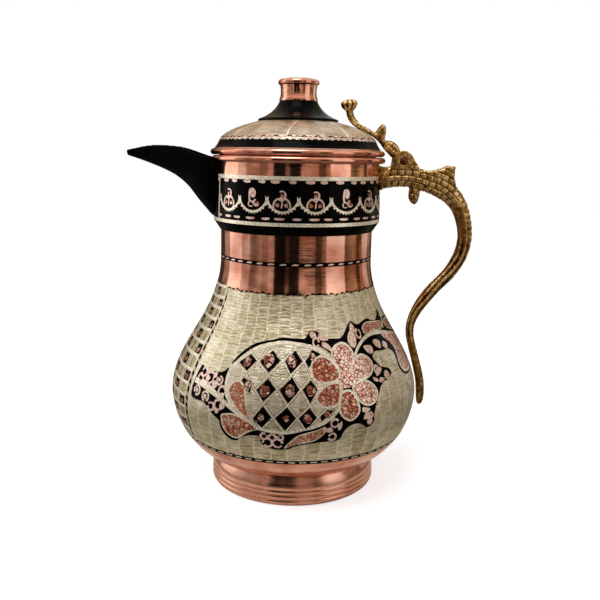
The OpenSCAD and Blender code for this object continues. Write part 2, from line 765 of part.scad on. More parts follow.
module lever_rivets() {
    color(brass)
    for (row = lever_rivet_rows) at_lever_rivet(row)
        rivet(lever_rivet_d, lever_burr_top - burr_t - tiny, lever_rivet_head + tiny);
}

module lever_burrs() {
    color(brass)
    for (row = lever_rivet_rows) at_lever_rivet(row) difference() {
        translate([0, 0, lever_burr_top - burr_t]) cylinder(r = lever_rivet_d, h = burr_t, $fn = 48);
        cylinder(d = lever_rivet_d + 2 * hole_gap, h = big, center = true, $fn = 48);
    }
}

body_shell();
foot_ring();
neck_collar();
rim_wire();
beak();
handle();
handle_rivets();
handle_burrs();
hinge_pin();
lid_shell();
lid_wire();
lid_ring();
knob_cone();
knob_cap();
knob_stud();
knob_washer();
knob_nut();
lid_lever();
lever_rivets();
lever_burrs();
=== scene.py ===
"""Coffee pot of spun copper with an engraved and tinned belly, a black collar and a cast brass handle.

Blender works in metres. Sizes and drawings below are in millimetres: heights are from the table,
and angles run from the front (-Y) towards the handle (+X).
"""
import logging
import math
from bisect import bisect_right
from collections.abc import Callable
from dataclasses import dataclass, field
from enum import Enum

import bpy
import numpy as np
from mathutils import Matrix, Vector


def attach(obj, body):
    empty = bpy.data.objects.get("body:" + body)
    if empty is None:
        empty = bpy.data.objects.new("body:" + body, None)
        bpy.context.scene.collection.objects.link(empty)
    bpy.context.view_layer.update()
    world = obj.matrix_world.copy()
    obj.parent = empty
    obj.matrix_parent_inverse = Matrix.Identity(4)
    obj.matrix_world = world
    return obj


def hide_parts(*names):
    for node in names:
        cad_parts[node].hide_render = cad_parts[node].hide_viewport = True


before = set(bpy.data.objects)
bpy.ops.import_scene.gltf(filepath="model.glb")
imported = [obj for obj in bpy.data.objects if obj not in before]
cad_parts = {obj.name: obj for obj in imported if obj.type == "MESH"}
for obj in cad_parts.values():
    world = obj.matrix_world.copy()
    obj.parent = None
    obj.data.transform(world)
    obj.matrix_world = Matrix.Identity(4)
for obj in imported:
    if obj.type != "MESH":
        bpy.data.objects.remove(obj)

MM = 0.001
TURN = 2 * math.pi
Point = tuple[float, float]
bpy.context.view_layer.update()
log = logging.getLogger("coffee_pot")


class Body(str, Enum):
    """The two bodies that move against each other."""

    POT = "pot"
    LID = "lid"


# ------------------------------------------------------------------ finishes


def srgb(code: str) -> tuple[float, float, float, float]:
    """Turns an sRGB hex value into linear red, green, blue and alpha."""
    parts = [int(code[i:i + 2], 16) / 255 for i in (1, 3, 5)]
    return tuple(c / 12.92 if c <= 0.04045 else ((c + 0.055) / 1.055) ** 2.4 for c in parts) + (1.0,)


def add_node(tree: bpy.types.NodeTree, kind: str, inputs: dict | None = None,
             **settings: str | bool) -> bpy.types.Node:
    """Adds a node with its settings and links.

    Args:
        tree: The node tree that gets the node.
        kind: Blender's type name of the node, without its leading ShaderNode.
        inputs: Socket name or number, with its value, or with the socket or the node that feeds it.
        settings: The node's own properties.

    Returns:
        The new node.
    """
    node = tree.nodes.new("ShaderNode" + kind)
    for key, value in settings.items():
        setattr(node, key, value)
    for key, value in (inputs or {}).items():
        if isinstance(value, bpy.types.Node):
            value = next(output for output in value.outputs if output.enabled)
        if isinstance(value, bpy.types.NodeSocket):
            tree.links.new(value, node.inputs[key])
        else:
            node.inputs[key].default_value = value
    return node


def clear_tree(owner: bpy.types.Material | bpy.types.World) -> bpy.types.NodeTree:
    """Empties the node tree of a material or a world.

    Args:
        owner: The material or world.

    Returns:
        Its node tree, without nodes.
    """
    owner.use_nodes = True
    owner.node_tree.nodes.clear()
    return owner.node_tree


@dataclass(frozen=True)
class Finish:
    """A surface finish; the subclasses say how it was made."""

    name: str

    def make(self) -> bpy.types.Material:
        """Makes the finish's material on first use.

        Returns:
            The material.
        """
        material = bpy.data.materials.get(self.name)
        if not material:
            material = bpy.data.materials.new(self.name)
            tree = clear_tree(material)
            shader = add_node(tree, "BsdfPrincipled", self.dress(tree))
            add_node(tree, "OutputMaterial", {"Surface": shader})
        return material

    def dress(self, tree: bpy.types.NodeTree) -> dict:
        """Adds the finish's nodes to a tree and returns the inputs of its shader."""
        raise NotImplementedError

    @staticmethod
    def place(tree: bpy.types.NodeTree, scale: tuple[float, float, float] = (1, 1, 1)) -> bpy.types.Node:
        """Turns Object coordinates into millimetres.

        Args:
            tree: The node tree.
            scale: How far the coordinates are stretched as well.

        Returns:
            Node that gives the coordinates.
        """
        where = add_node(tree, "TexCoord")
        sizes = [1000 * s for s in scale]
        return add_node(tree, "VectorMath", {0: where.outputs["Object"], 1: sizes}, operation="MULTIPLY")

    @staticmethod
    def blend(tree: bpy.types.NodeTree, pattern: bpy.types.Node, low: float, high: float,
              first: str | bpy.types.Node, second: str) -> bpy.types.Node:
        """Runs from one colour to another as a pattern rises.

        Args:
            tree: The node tree.
            pattern: Node that gives the pattern.
            low: The pattern's value where the first colour ends.
            high: Its value where the second colour starts.
            first: sRGB hex value, or a node that gives a colour.
            second: sRGB hex value.

        Returns:
            Node that gives the colour.
        """
        first = srgb(first) if isinstance(first, str) else first
        share = add_node(tree, "MapRange", {"Value": pattern, "From Min": low, "From Max": high})
        return add_node(tree, "Mix", {0: share, 6: first, 7: srgb(second)}, data_type="RGBA")

    @staticmethod
    def unroll(tree: bpy.types.NodeTree, radius: float) -> tuple[bpy.types.Node, bpy.types.Node]:
        """Unrolls the surface round the upright axis.

        Args:
            tree: The node tree.
            radius: Radius at which the unrolled length is true, mm.

        Returns:
            Nodes that give the millimetres round the axis and the millimetres up.
        """
        where = add_node(tree, "TexCoord")
        parts = add_node(tree, "SeparateXYZ", {0: where.outputs["Object"]})
        back = add_node(tree, "Math", {0: parts.outputs[1], 1: -1.0}, operation="MULTIPLY")
        angle = add_node(tree, "Math", {0: parts.outputs[0], 1: back}, operation="ARCTAN2")
        round_mm = add_node(tree, "Math", {0: angle, 1: radius}, operation="MULTIPLY")
        up_mm = add_node(tree, "Math", {0: parts.outputs[2], 1: 1000.0}, operation="MULTIPLY")
        return round_mm, up_mm


@dataclass(frozen=True)
class EngravedTin(Finish):
    """Tinned copper cut with rows of short level strokes, in columns parted by ridges with a painted
    highlight.
    """

    light: str = "#EFE9D4"
    middle: str = "#C2B793"
    dark: str = "#7F714C"
    radius: float = 77.9
    column: float = 9.6      # width of one column of strokes, mm
    stroke: float = 1.75     # spacing of the strokes, mm; the real ones lie a little closer
    bite: float = 0.075      # how strongly the evenly spaced strokes show
    ridge: float = 0.24      # how much the ridge between two columns stands up and is painted paler, as a highlight
    facet: float = 0.16      # how far one column's tone may differ from its neighbour's
    roughness: float = 0.36

    def dress(self, tree: bpy.types.NodeTree) -> dict:
        """Cuts long uneven strokes in columns, with a thin ridge between the columns that gets a painted
        highlight.

        Args:
            tree: The material's node tree.

        Returns:
            The shader's inputs.
        """
        round_mm, up_mm = self.unroll(tree, self.radius)
        flat = add_node(tree, "CombineXYZ", {0: round_mm, 1: up_mm})
        sway = add_node(tree, "TexNoise", {"Vector": flat, "Scale": 0.085, "Detail": 2.0})
        swayed = add_node(tree, "Math", {0: sway, 1: self.column * 0.55, 2: round_mm},
            operation="MULTIPLY_ADD")
        column = add_node(tree, "Math", {0: swayed, 1: 1 / self.column}, operation="MULTIPLY")
        share = add_node(tree, "Math", {0: column}, operation="FRACT")
        number = add_node(tree, "Math", {0: column}, operation="FLOOR")
        chance = add_node(tree, "TexWhiteNoise", {"W": number}, noise_dimensions="1D")
        # every column has strokes of its own, so they stop at the ridges
        own = add_node(tree, "Math", {0: number, 1: 7.3}, operation="MULTIPLY")
        long = add_node(tree, "CombineXYZ", {0: round_mm, 1: up_mm, 2: own})
        drawn = add_node(tree, "VectorMath", {0: long, 1: (0.13, 1.15 / self.stroke, 1.0)},
            operation="MULTIPLY")
        strokes = add_node(tree, "TexNoise", {"Vector": drawn, "Scale": 1.0, "Detail": 3.0, "Roughness": 0.6})
        middle = add_node(tree, "Math", {0: share, 1: 0.5}, operation="SUBTRACT")
        bow = add_node(tree, "Math", {0: middle, 1: middle}, operation="MULTIPLY")
        rows = add_node(tree, "Math", {0: up_mm, 1: 1 / self.stroke, 2: chance}, operation="MULTIPLY_ADD")
        bowed = add_node(tree, "Math", {0: bow, 1: 1.2, 2: rows}, operation="MULTIPLY_ADD")
        phase = add_node(tree, "Math", {0: strokes, 1: 1.4, 2: bowed}, operation="MULTIPLY_ADD")
        wave = add_node(tree, "Math", {0: phase, 1: TURN}, operation="MULTIPLY")
        ripple = add_node(tree, "Math", {0: wave}, operation="SINE")
        patch = add_node(tree, "TexNoise", {"Vector": long, "Scale": 0.11, "Detail": 2.0})
        near = add_node(tree, "Math", {0: middle}, operation="ABSOLUTE")
        ridge = add_node(tree, "MapRange", {"Value": near, "From Min": 0.41, "From Max": 0.48})
        grit = add_node(tree, "TexNoise", {"Vector": flat, "Scale": 1.6, "Detail": 3.0})
        cut = add_node(tree, "Math", {0: ripple, 1: self.bite, 2: strokes}, operation="MULTIPLY_ADD")
        # painted highlight: the ridge lightens the colour as well as raising the bump
        ridged = add_node(tree, "Math", {0: ridge, 1: self.ridge, 2: cut}, operation="MULTIPLY_ADD")
        tall = add_node(tree, "Math", {0: grit, 1: 0.3, 2: ridged}, operation="MULTIPLY_ADD")
        blotched = add_node(tree, "Math", {0: patch, 1: 0.55, 2: tall}, operation="MULTIPLY_ADD")
        toned = add_node(tree, "Math", {0: chance, 1: self.facet, 2: blotched}, operation="MULTIPLY_ADD")
        ground = self.blend(tree, toned, 0.62, 0.9, self.dark, self.middle)
        colour = self.blend(tree, toned, 0.9, 1.25, ground, self.light)
        bump = add_node(tree, "Bump", {"Height": tall, "Strength": 0.7, "Distance": 0.0005})
        return {"Base Color": colour, "Metallic": 0.75, "Roughness": self.roughness, "Normal": bump}


@dataclass(frozen=True)
class SpunCopper(Finish):
    """Copper spun on a lathe and polished: fine turning rings drag its reflections into short steps."""

    colour: str = "#F6BDA4"
    aged: str = "#CB7E64"
    radius: float = 47.0
    roughness: float = 0.07
    ring: float = 1.1        # spacing of the turning rings, mm; the real ones are half as wide
    depth: float = 0.05      # mm

    def dress(self, tree: bpy.types.NodeTree) -> dict:
        """Turns fine rings and lets the copper age in soft patches.

        Args:
            tree: The material's node tree.

        Returns:
            The shader's inputs.
        """
        round_mm, up_mm = self.unroll(tree, self.radius)
        slow = add_node(tree, "Math", {0: round_mm, 1: 0.05}, operation="MULTIPLY")
        quick = add_node(tree, "Math", {0: up_mm, 1: 1 / self.ring}, operation="MULTIPLY")
        flat = add_node(tree, "CombineXYZ", {0: slow, 1: quick})
        rings = add_node(tree, "TexNoise", {"Vector": flat, "Scale": 1.0, "Detail": 3.0})
        patches = add_node(tree, "TexNoise", {"Vector": self.place(tree), "Scale": 0.06, "Detail": 3.0})
        colour = self.blend(tree, patches, 0.35, 0.68, self.colour, self.aged)
        shine = add_node(tree, "MapRange", {"Value": rings, "From Min": 0.3, "From Max": 0.7,
            "To Min": self.roughness * 0.75, "To Max": self.roughness * 1.5})
        bump = add_node(tree, "Bump", {"Height": rings, "Strength": 1.0, "Distance": self.depth * MM})
        return {"Base Color": colour, "Metallic": 1.0, "Roughness": shine, "Normal": bump}


@dataclass(frozen=True)
class ChiselledCopper(Finish):
    """Bare copper pecked all over with a small punch, so that bright chips stand between dark cuts."""

    deep: str = "#5E160C"
    middle: str = "#C4694A"
    bright: str = "#F2B89C"
    grain: float = 1.5       # size of one chip, mm
    cut: float = 0.2         # how wide the cuts between the chips are, as a share of a chip
    wear: float = 0.5        # share of the surface that is bright

    def dress(self, tree: bpy.types.NodeTree) -> dict:
        """Breaks the copper into chips of several tones with dark cuts between them.

        Args:
            tree: The material's node tree.

        Returns:
            The shader's inputs.
        """
        where = self.place(tree)
        shake = add_node(tree, "TexNoise", {"Vector": where, "Scale": 0.5, "Detail": 2.0})
        moved = add_node(tree, "VectorMath", {0: shake.outputs["Color"], 1: (2.2, 2.2, 2.2), 2: where},
            operation="MULTIPLY_ADD")
        edges = add_node(tree, "TexVoronoi", {"Vector": moved, "Scale": 1 / self.grain},
            feature="DISTANCE_TO_EDGE")
        chips = add_node(tree, "TexVoronoi", {"Vector": moved, "Scale": 1 / self.grain}, feature="F1")
        tones = add_node(tree, "SeparateColor", {0: chips.outputs["Color"]})
        raised = add_node(tree, "MapRange", {"Value": edges, "From Min": self.cut * 0.2,
            "From Max": self.cut})
        blotch = add_node(tree, "TexNoise", {"Vector": where, "Scale": 0.3, "Detail": 2.0})
        mixed = add_node(tree, "Math", {0: blotch, 1: 1.3, 2: tones}, operation="MULTIPLY_ADD")
        face = self.blend(tree, mixed, 1.45 - self.wear, 1.95 - self.wear, self.middle, self.bright)
        colour = add_node(tree, "Mix", {0: raised, 6: srgb(self.deep), 7: face}, data_type="RGBA")
        bump = add_node(tree, "Bump", {"Height": raised, "Strength": 0.9, "Distance": 0.0003})
        return {"Base Color": colour, "Metallic": 0.8, "Roughness": 0.3, "Normal": bump}


@dataclass(frozen=True)
class BrightTin(Finish):
    """Tin scraped bright along the lines of the drawing; soft, pale and a little uneven."""

    light: str = "#EDE4D2"
    dark: str = "#B9AE94"

    def dress(self, tree: bpy.types.NodeTree) -> dict:
        """Leaves small scraper marks across the line.

        Args:
            tree: The material's node tree.

        Returns:
            The shader's inputs.
        """
        marks = add_node(tree, "TexNoise", {"Vector": self.place(tree), "Scale": 0.9, "Detail": 3.0})
        colour = self.blend(tree, marks, 0.36, 0.6, self.dark, self.light)
        bump = add_node(tree, "Bump", {"Height": marks, "Strength": 0.5, "Distance": 0.0002})
        return {"Base Color": colour, "Metallic": 0.6, "Roughness": 0.36, "Normal": bump}


@dataclass(frozen=True)
class BlackLacquer(Finish):
    """Black lacquer brushed over copper: nearly black, glossy, and faintly wavy where it ran."""

    colour: str = "#030303"
    fleck: str = "#100E0D"
    roughness: float = 0.14
    sheen: float = 0.03      # the real lacquer is thin and worn and shines back far less than a full coat
    wave: float = 0.03       # depth of the waves, mm

    def dress(self, tree: bpy.types.NodeTree) -> dict:
        """Adds worn flecks and shallow waves.

        Args:
            tree: The material's node tree.

        Returns:
            The shader's inputs.
        """
        specks = add_node(tree, "TexNoise", {"Vector": self.place(tree), "Scale": 1.3, "Detail": 4.0})
        colour = self.blend(tree, specks, 0.60, 0.74, self.colour, self.fleck)
        waves = add_node(tree, "TexNoise", {"Vector": self.place(tree), "Scale": 0.25, "Detail": 2.0})
        bump = add_node(tree, "Bump", {"Height": waves, "Strength": 1.0, "Distance": self.wave * MM})
        return {"Base Color": colour, "Roughness": self.roughness, "IOR": 1.5,
            "Specular IOR Level": self.sheen, "Normal": bump}


@dataclass(frozen=True)
class CastBrass(Finish):
    """Sand-cast brass: rubbed bright on its high points, brown in its recesses, with painted highlight and
    shade.
    """

    # high is a painted highlight on the high points; low is painted shade, with some real grime, in the
    # recesses
    high: str = "#F4D598"
    middle: str = "#A67C3C"
    low: str = "#2A1A0A"
    roughness: float = 0.24

    def dress(self, tree: bpy.types.NodeTree) -> dict:
        """Colours the brass by the piece's own relief attribute, painting shade and highlight, and pits it
        like cast metal.

        Args:
            tree: The material's node tree.

        Returns:
            The shader's inputs.
        """
        relief = add_node(tree, "Attribute", attribute_name="relief")
        patches = add_node(tree, "TexNoise", {"Vector": self.place(tree), "Scale": 0.35, "Detail": 4.0})
        patch = add_node(tree, "MapRange", {"Value": patches, "From Min": 0.3, "From Max": 0.7,
            "To Min": -0.3, "To Max": 0.3})
        level = add_node(tree, "Math", {0: relief.outputs["Fac"], 1: patch}, operation="ADD", use_clamp=True)
        # painted shade: recesses run to the low colour, partly real grime, and high points to a painted
        # highlight
        grime_and_painted_shade = self.blend(tree, level, 0.0, 0.5, self.low, self.middle)
        colour = self.blend(tree, level, 0.5, 0.95, grime_and_painted_shade, self.high)
        sand = add_node(tree, "TexNoise", {"Vector": self.place(tree), "Scale": 1.3, "Detail": 4.0})
        bump = add_node(tree, "Bump", {"Height": sand, "Strength": 0.8, "Distance": 0.0005})
        return {"Base Color": colour, "Metallic": 1.0, "Roughness": self.roughness, "Normal": bump}


@dataclass(frozen=True)
class SmallMetal(Finish):
    """Plain metal of a small fastener or lining, dulled by handling."""

    colour: str = "#B9B2A0"
    stain: str = "#8A8478"
    roughness: float = 0.35

    def dress(self, tree: bpy.types.NodeTree) -> dict:
        """Stains the metal in patches and scratches it finely.

        Args:
            tree: The material's node tree.

        Returns:
            The shader's inputs.
        """
        patches = add_node(tree, "TexNoise", {"Vector": self.place(tree), "Scale": 0.5, "Detail": 4.0})
        colour = self.blend(tree, patches, 0.4, 0.66, self.colour, self.stain)
        scratches = add_node(tree, "TexNoise", {"Vector": self.place(tree, (1.0, 1.0, 6.0)), "Scale": 1.5})
        bump = add_node(tree, "Bump", {"Height": scratches, "Strength": 0.4, "Distance": 0.0001})
        return {"Base Color": colour, "Metallic": 1.0, "Roughness": self.roughness, "Normal": bump}


GROUND = EngravedTin("engraved_tinned_copper")
PLATE = EngravedTin("engraved_medallion_tin", light="#F2ECDB", middle="#C2BAA0", dark="#807557", column=5.2,
    stroke=1.3, bite=0.05, ridge=0.1)
LADDER = EngravedTin("engraved_ladder_tin", light="#D8CDAA", middle="#A2966E", dark="#6A6040", column=4.8,
    stroke=1.4)
DOME = EngravedTin("engraved_lid_tin", light="#DECDB7", middle="#B59F84", dark="#826F58", radius=36.0,
    column=17.0, stroke=1.5, bite=0.03, ridge=0.05, facet=0.1, roughness=0.34)
COPPER = SpunCopper("polished_spun_copper")
FOOT_COPPER = SpunCopper("spun_foot_copper", colour="#F2B9A2", aged="#E0A084", radius=52.0, roughness=0.2,
    depth=0.012)
PETAL = ChiselledCopper("punched_red_copper", deep="#6E1C0E", middle="#D27A58", bright="#FBCDB4", grain=2.0,
    cut=0.15, wear=0.55)
PALE_PETAL = ChiselledCopper("punched_pink_copper", deep="#9C3F28", middle="#E8AC90", bright="#FCE0D0",
    grain=2.1, cut=0.1, wear=0.85)
FINE_COPPER = ChiselledCopper("hatched_copper", deep="#7E2C18", middle="#E09270", bright="#FDD8C2", grain=1.1,
    cut=0.16, wear=0.5)
BUD = ChiselledCopper("polished_copper_buds", deep="#2A0A06", middle="#A9604A", bright="#F6D2BE", grain=3.0,
    cut=0.14, wear=0.5)
LINE = BrightTin("scraped_bright_tin", light="#FFF8EA", dark="#D2C8AE")
# painted shadow: dark tin laid beside the bright lattice lines
SHADE = BrightTin("painted_lattice_shadow_tin", light="#8F8568", dark="#5F573F")
CURL = BrightTin("pink_scraped_tin", light="#F6E2D8", dark="#CC9F8E")
LACQUER = BlackLacquer("brushed_black_lacquer")
SATIN_LACQUER = BlackLacquer("satin_black_lacquer", roughness=0.35, sheen=0.03, wave=0.08, fleck="#141211")
BRASS = CastBrass("sand_cast_brass")
PIN = SmallMetal("tarnished_copper_pin", colour="#7A4636", stain="#4A2A22", roughness=0.4)
RIVET_COPPER = SmallMetal("rivet_copper", colour="#B8683F", stain="#7C3F24")
WIRE = SmallMetal("drawn_iron_wire", colour="#8A8A86", stain="#6B5A4A")
STEEL = SmallMetal("plated_steel", colour="#C3BFB4", stain="#9C968A", roughness=0.28)
LINING = SmallMetal("tin_lining", colour="#CFCBC0", stain="#A8A294", roughness=0.3)


# ------------------------------------------------------------------ modelling tools


def select_only(piece: bpy.types.Object) -> None:
    """Makes a piece the only selected object.

    Args:
        piece: The object.
    """
    bpy.ops.object.select_all(action="DESELECT")
    piece.select_set(True)
    bpy.context.view_layer.objects.active = piece


def edit_mesh(piece: bpy.types.Object) -> None:
    """Opens a piece in edit mode as the only selected object."""
    select_only(piece)
    bpy.ops.object.mode_set(mode="EDIT")


def close_mesh(piece: bpy.types.Object, angle: float = 35.0) -> None:
    """Merges doubles, turns the faces outwards and shades the piece smooth.

    Args:
        piece: The object.
        angle: Sharpest edge that is still shaded smooth, degrees.
    """
    if bpy.context.mode != "EDIT_MESH":
        edit_mesh(piece)
    bpy.ops.mesh.select_all(action="SELECT")
    bpy.ops.mesh.remove_doubles(threshold=0.000004)
    bpy.ops.mesh.normals_make_consistent(inside=False)
    bpy.ops.object.mode_set(mode="OBJECT")
    bpy.ops.object.shade_smooth_by_angle(angle=math.radians(angle))


def apply_all(piece: bpy.types.Object) -> None:
    """Applies every modifier of a piece.

    Args:
        piece: The object.
    """
    select_only(piece)
    for modifier in list(piece.modifiers):
        bpy.ops.object.modifier_apply(modifier=modifier.name)


def settle(piece: bpy.types.Object, name: str, body: Body, finish: Finish | None,
           nodes: tuple[str, ...] = ()) -> bpy.types.Object:
    """Names and dresses a finished piece and puts it on its body.

    Args:
        piece: The finished object, at the origin.
        name: Its name in the scene.
        body: The body that it rides on.
        finish: Its finish, or None where its material slots are filled already.
        nodes: CAD nodes that it stands for.

    Returns:
        The piece.
    """
    piece.name = piece.data.name = name
    if finish:
        piece.data.materials.clear()
        piece.data.materials.append(finish.make())
    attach(piece, body.value)
    if nodes:
        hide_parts(*nodes)
    log.info("%s: %d faces on %s", name, len(piece.data.polygons), body.value)
    return piece


def bezier(p: tuple[Point, Point, Point, Point], steps: int) -> list[Point]:
    """Points along a cubic curve.

    Args:
        p: Its start, two control points and end.
        steps: Number of parts.

    Returns:
        The points.
    """
    line = []
    for i in range(steps + 1):
        t = i / steps
        w = ((1 - t) ** 3, 3 * (1 - t) ** 2 * t, 3 * (1 - t) * t * t, t ** 3)
        line.append((sum(a * q[0] for a, q in zip(w, p)), sum(a * q[1] for a, q in zip(w, p))))
    return line


def offset_line(line: list[Point], gap: float) -> list[Point]:
    """Moves a line to its left.

    Args:
        line: The points.
        gap: Distance, mm.

    Returns:
        The moved points.
    """
    moved = []
    for i, (x, y) in enumerate(line):
        ax, ay = line[max(i - 1, 0)]
        bx, by = line[min(i + 1, len(line) - 1)]
        d = math.hypot(bx - ax, by - ay) or 1.0
        moved.append((x - gap * (by - ay) / d, y + gap * (bx - ax) / d))
    return moved


def with_heights(line: list[Point], heights: list[float] | tuple[float, ...]) -> list[Point]:
    """Adds a point to a rising line at each height that it passes.

    Args:
        line: (radius, height) points.
        heights: The heights.

    Returns:
        The fuller line.
    """
    full = list(line)
    for z in heights:
        for i in range(len(full) - 1):
            (r0, z0), (r1, z1) = full[i], full[i + 1]
            if z0 + 0.01 < z < z1 - 0.01:
                full.insert(i + 1, (r0 + (r1 - r0) * (z - z0) / (z1 - z0), z))
                break
    return full


def arc(middle: Point, radius: float, start: float, end: float, steps: int) -> list[Point]:
    """Points on a circle from one angle to another, in degrees."""
    angles = [math.radians(start + (end - start) * i / steps) for i in range(steps + 1)]
    return [(middle[0] + radius * math.cos(a), middle[1] + radius * math.sin(a)) for a in angles]


def spin_profile(profile: list[Point], steps: int = 192, angle: float = 40.0) -> bpy.types.Object:
    """Turns a profile round the upright axis, as on a lathe.

    Args:
        profile: (radius, height) points; both ends on the axis, or the last point equal to the first.
        steps: Number of facets round the axis.
        angle: Sharpest edge that is still shaded smooth, in degrees.

    Returns:
        The turned object.
    """
    bpy.ops.object.select_all(action="DESELECT")
    bpy.ops.mesh.primitive_plane_add(size=MM, location=(0, 0, 0))
    piece = bpy.context.active_object
    bpy.ops.object.mode_set(mode="EDIT")
    bpy.ops.mesh.merge(type="CENTER")
    bpy.ops.mesh.select_all(action="SELECT")
    r, z = profile[0]
    bpy.ops.transform.translate(value=(r * MM, 0, z * MM))
    for nr, nz in profile[1:]:
        bpy.ops.mesh.extrude_region_move(TRANSFORM_OT_translate={"value": ((nr - r) * MM, 0, (nz - z) * MM)})
        r, z = nr, nz
    bpy.ops.mesh.select_all(action="SELECT")
    bpy.ops.mesh.spin(steps=steps, angle=TURN, center=(0, 0, 0), axis=(0, 0, 1))
    close_mesh(piece, angle)
    return piece


def zone_slots(piece: bpy.types.Object, finishes: list[Finish], bands: list[tuple[float, int]],
               inside: Callable[[float, float, float, float], bool]) -> None:
    """Gives each face of a turned piece the finish of its height, and the last finish on the inside.

    Args:
        piece: The turned object.
        finishes: The finishes; the last one is the lining.
        bands: Upper end, mm, and number of the finish, for each band from below to above.
        inside: Tells the inside by a face's radius and height, mm, and its normal's outward and upward parts.
    """
    piece.data.materials.clear()
    for finish in finishes:
        piece.data.materials.append(finish.make())
    for face in piece.data.polygons:
        middle, normal = face.center / MM, face.normal
        radius = math.hypot(middle.x, middle.y)
        outward = (normal.x * middle.x + normal.y * middle.y) / max(radius, 0.001)
        if inside(radius, middle.z, outward, normal.z):
            face.material_index = len(finishes) - 1
        else:
            face.material_index = next(number for top, number in bands if middle.z < top)


# ------------------------------------------------------------------ flat drawing


def smooth(points: list[Point], closed: bool = True, parts: int = 4) -> list[Point]:
    """Runs a soft curve through the points of an outline or a line.

    Args:
        points: The points.
        closed: True for an outline, False for a line.
        parts: Number of parts between two points.

    Returns:
        The curve's points.
    """
    n = len(points)
    line = []
    for i in range(n if closed else n - 1):
        if closed:
            a, b, c, d = (points[(i + k) % n] for k in (-1, 0, 1, 2))
        else:
            a, b, c, d = (points[min(max(i + k, 0), n - 1)] for k in (-1, 0, 1, 2))
        for k in range(parts):
            t = k / parts
            line.append(tuple(
                0.5 * (2 * b[m] + (c[m] - a[m]) * t + (2 * a[m] - 5 * b[m] + 4 * c[m] - d[m]) * t * t
                       + (3 * b[m] - a[m] - 3 * c[m] + d[m]) * t ** 3) for m in (0, 1)))
    return line if closed else line + [points[-1]]


def ribbon(points: list[Point], width: float, end_width: float | None = None, parts: int = 3) -> list[Point]:
    """Outline of a soft line of some width.

    Args:
        points: Points along its middle.
        width: Its width, mm.
        end_width: Width at its end, if it tapers.
        parts: Number of parts between two points.

    Returns:
        The outline.
    """
    line = smooth(points, closed=False, parts=parts)
    last = width if end_width is None else end_width
    n = len(line) - 1
    sides = []
    for sign in (1, -1):
        side = []
        for i, (x, y) in enumerate(line):
            (ax, ay), (bx, by) = line[max(i - 1, 0)], line[min(i + 1, n)]
            d = math.hypot(bx - ax, by - ay) or 1.0
            half = sign * (width + (last - width) * i / n) / 2
            side.append((x - half * (by - ay) / d, y + half * (bx - ax) / d))
        sides.append(side)
    return sides[0] + sides[1][::-1]


def shrink(outline: list[Point], gap: float) -> list[Point]:
    """Moves each point of an outline towards its middle.

    Args:
        outline: The outline.
        gap: Distance, mm; below 0 it grows the outline.

    Returns:
        The new outline.
    """
    cx = sum(p[0] for p in outline) / len(outline)
    cy = sum(p[1] for p in outline) / len(outline)
    kept = []
    for x, y in outline:
        d = math.hypot(x - cx, y - cy) or 1.0
        k = max(0.15, 1 - gap / d)
        kept.append((cx + (x - cx) * k, cy + (y - cy) * k))
    return kept


def rosette(middle: Point, size: float, lobes: int, turn: float = 0.0, depth: float = 0.35) -> list[Point]:
    """Outline of a small flower with round lobes.

    Args:
        middle: Its middle.
        size: Its radius, mm.
        lobes: Number of lobes.
        turn: Angle of the first lobe, radians.
        depth: Depth of the notches as a share of the radius.

    Returns:
        The outline.
    """
    steps = lobes * 6
    outline = []
    for i in range(steps):
        a = TURN * i / steps + turn
        r = size * (1 - depth * (1 - abs(math.cos(lobes * (a - turn) / 2))))
        outline.append((middle[0] + r * math.cos(a), middle[1] + r * math.sin(a)))
    return outline


def curl(middle: Point, radius: float, width: float, start: float, sweep: float = 290.0) -> list[Point]:
    """Outline of an open curl, from a start angle in degrees."""
    return ribbon(arc(middle, radius, start, start + sweep, 9), width, width * 0.6, parts=2)


def block(x: float, y: float, width: float, height: float, slant: float = 0.0) -> list[Point]:
    """Outline of a short dash with its middle at x, y."""
    w, h = width / 2, height / 2
    return [(x - w, y - h), (x + w, y - h + slant), (x + w, y + h + slant), (x - w, y + h)]


@dataclass(frozen=True)
class Skin:
    """Surface of revolution on which drawings are laid.

    Attributes:
        profile: (radius, height) points from below to above, or from outside to inside.
        radius: Radius at which a millimetre of the drawing is a millimetre round the pot.
        by_height: True where a drawing's y is a height, False where it runs along the profile.
    """

    profile: tuple[Point, ...]
    radius: float
    by_height: bool = True

    def marks(self) -> list[float]:
        """Measures the drawing's y along the profile.

        Returns:
            One value for each profile point.
        """
        if self.by_height:
            return [p[1] for p in self.profile]
        run = [0.0]
        for (r0, z0), (r1, z1) in zip(self.profile, self.profile[1:]):
            run.append(run[-1] + math.hypot(r1 - r0, z1 - z0))
        return run

    def wrap(self, points: list[tuple[float, float, float]]) -> list[tuple[float, float, float]]:
        """Lays flat points on the surface.

        Args:
            points: (x, y, lift), mm.

        Returns:
            Their places, mm.
        """
        marks = self.marks()
        laid = []
        for u, v, lift in points:
            i = min(max(bisect_right(marks, v) - 1, 0), len(marks) - 2)
            t = min(max((v - marks[i]) / (marks[i + 1] - marks[i]), 0.0), 1.0)
            (r0, z0), (r1, z1) = self.profile[i], self.profile[i + 1]
            d = math.hypot(r1 - r0, z1 - z0)
            nr, nz = (z1 - z0) / d, -(r1 - r0) / d
            r, z = r0 + (r1 - r0) * t + nr * lift, z0 + (z1 - z0) * t + nz * lift
            a = u / self.radius
            laid.append((r * math.sin(a), -r * math.cos(a), z))
        return laid


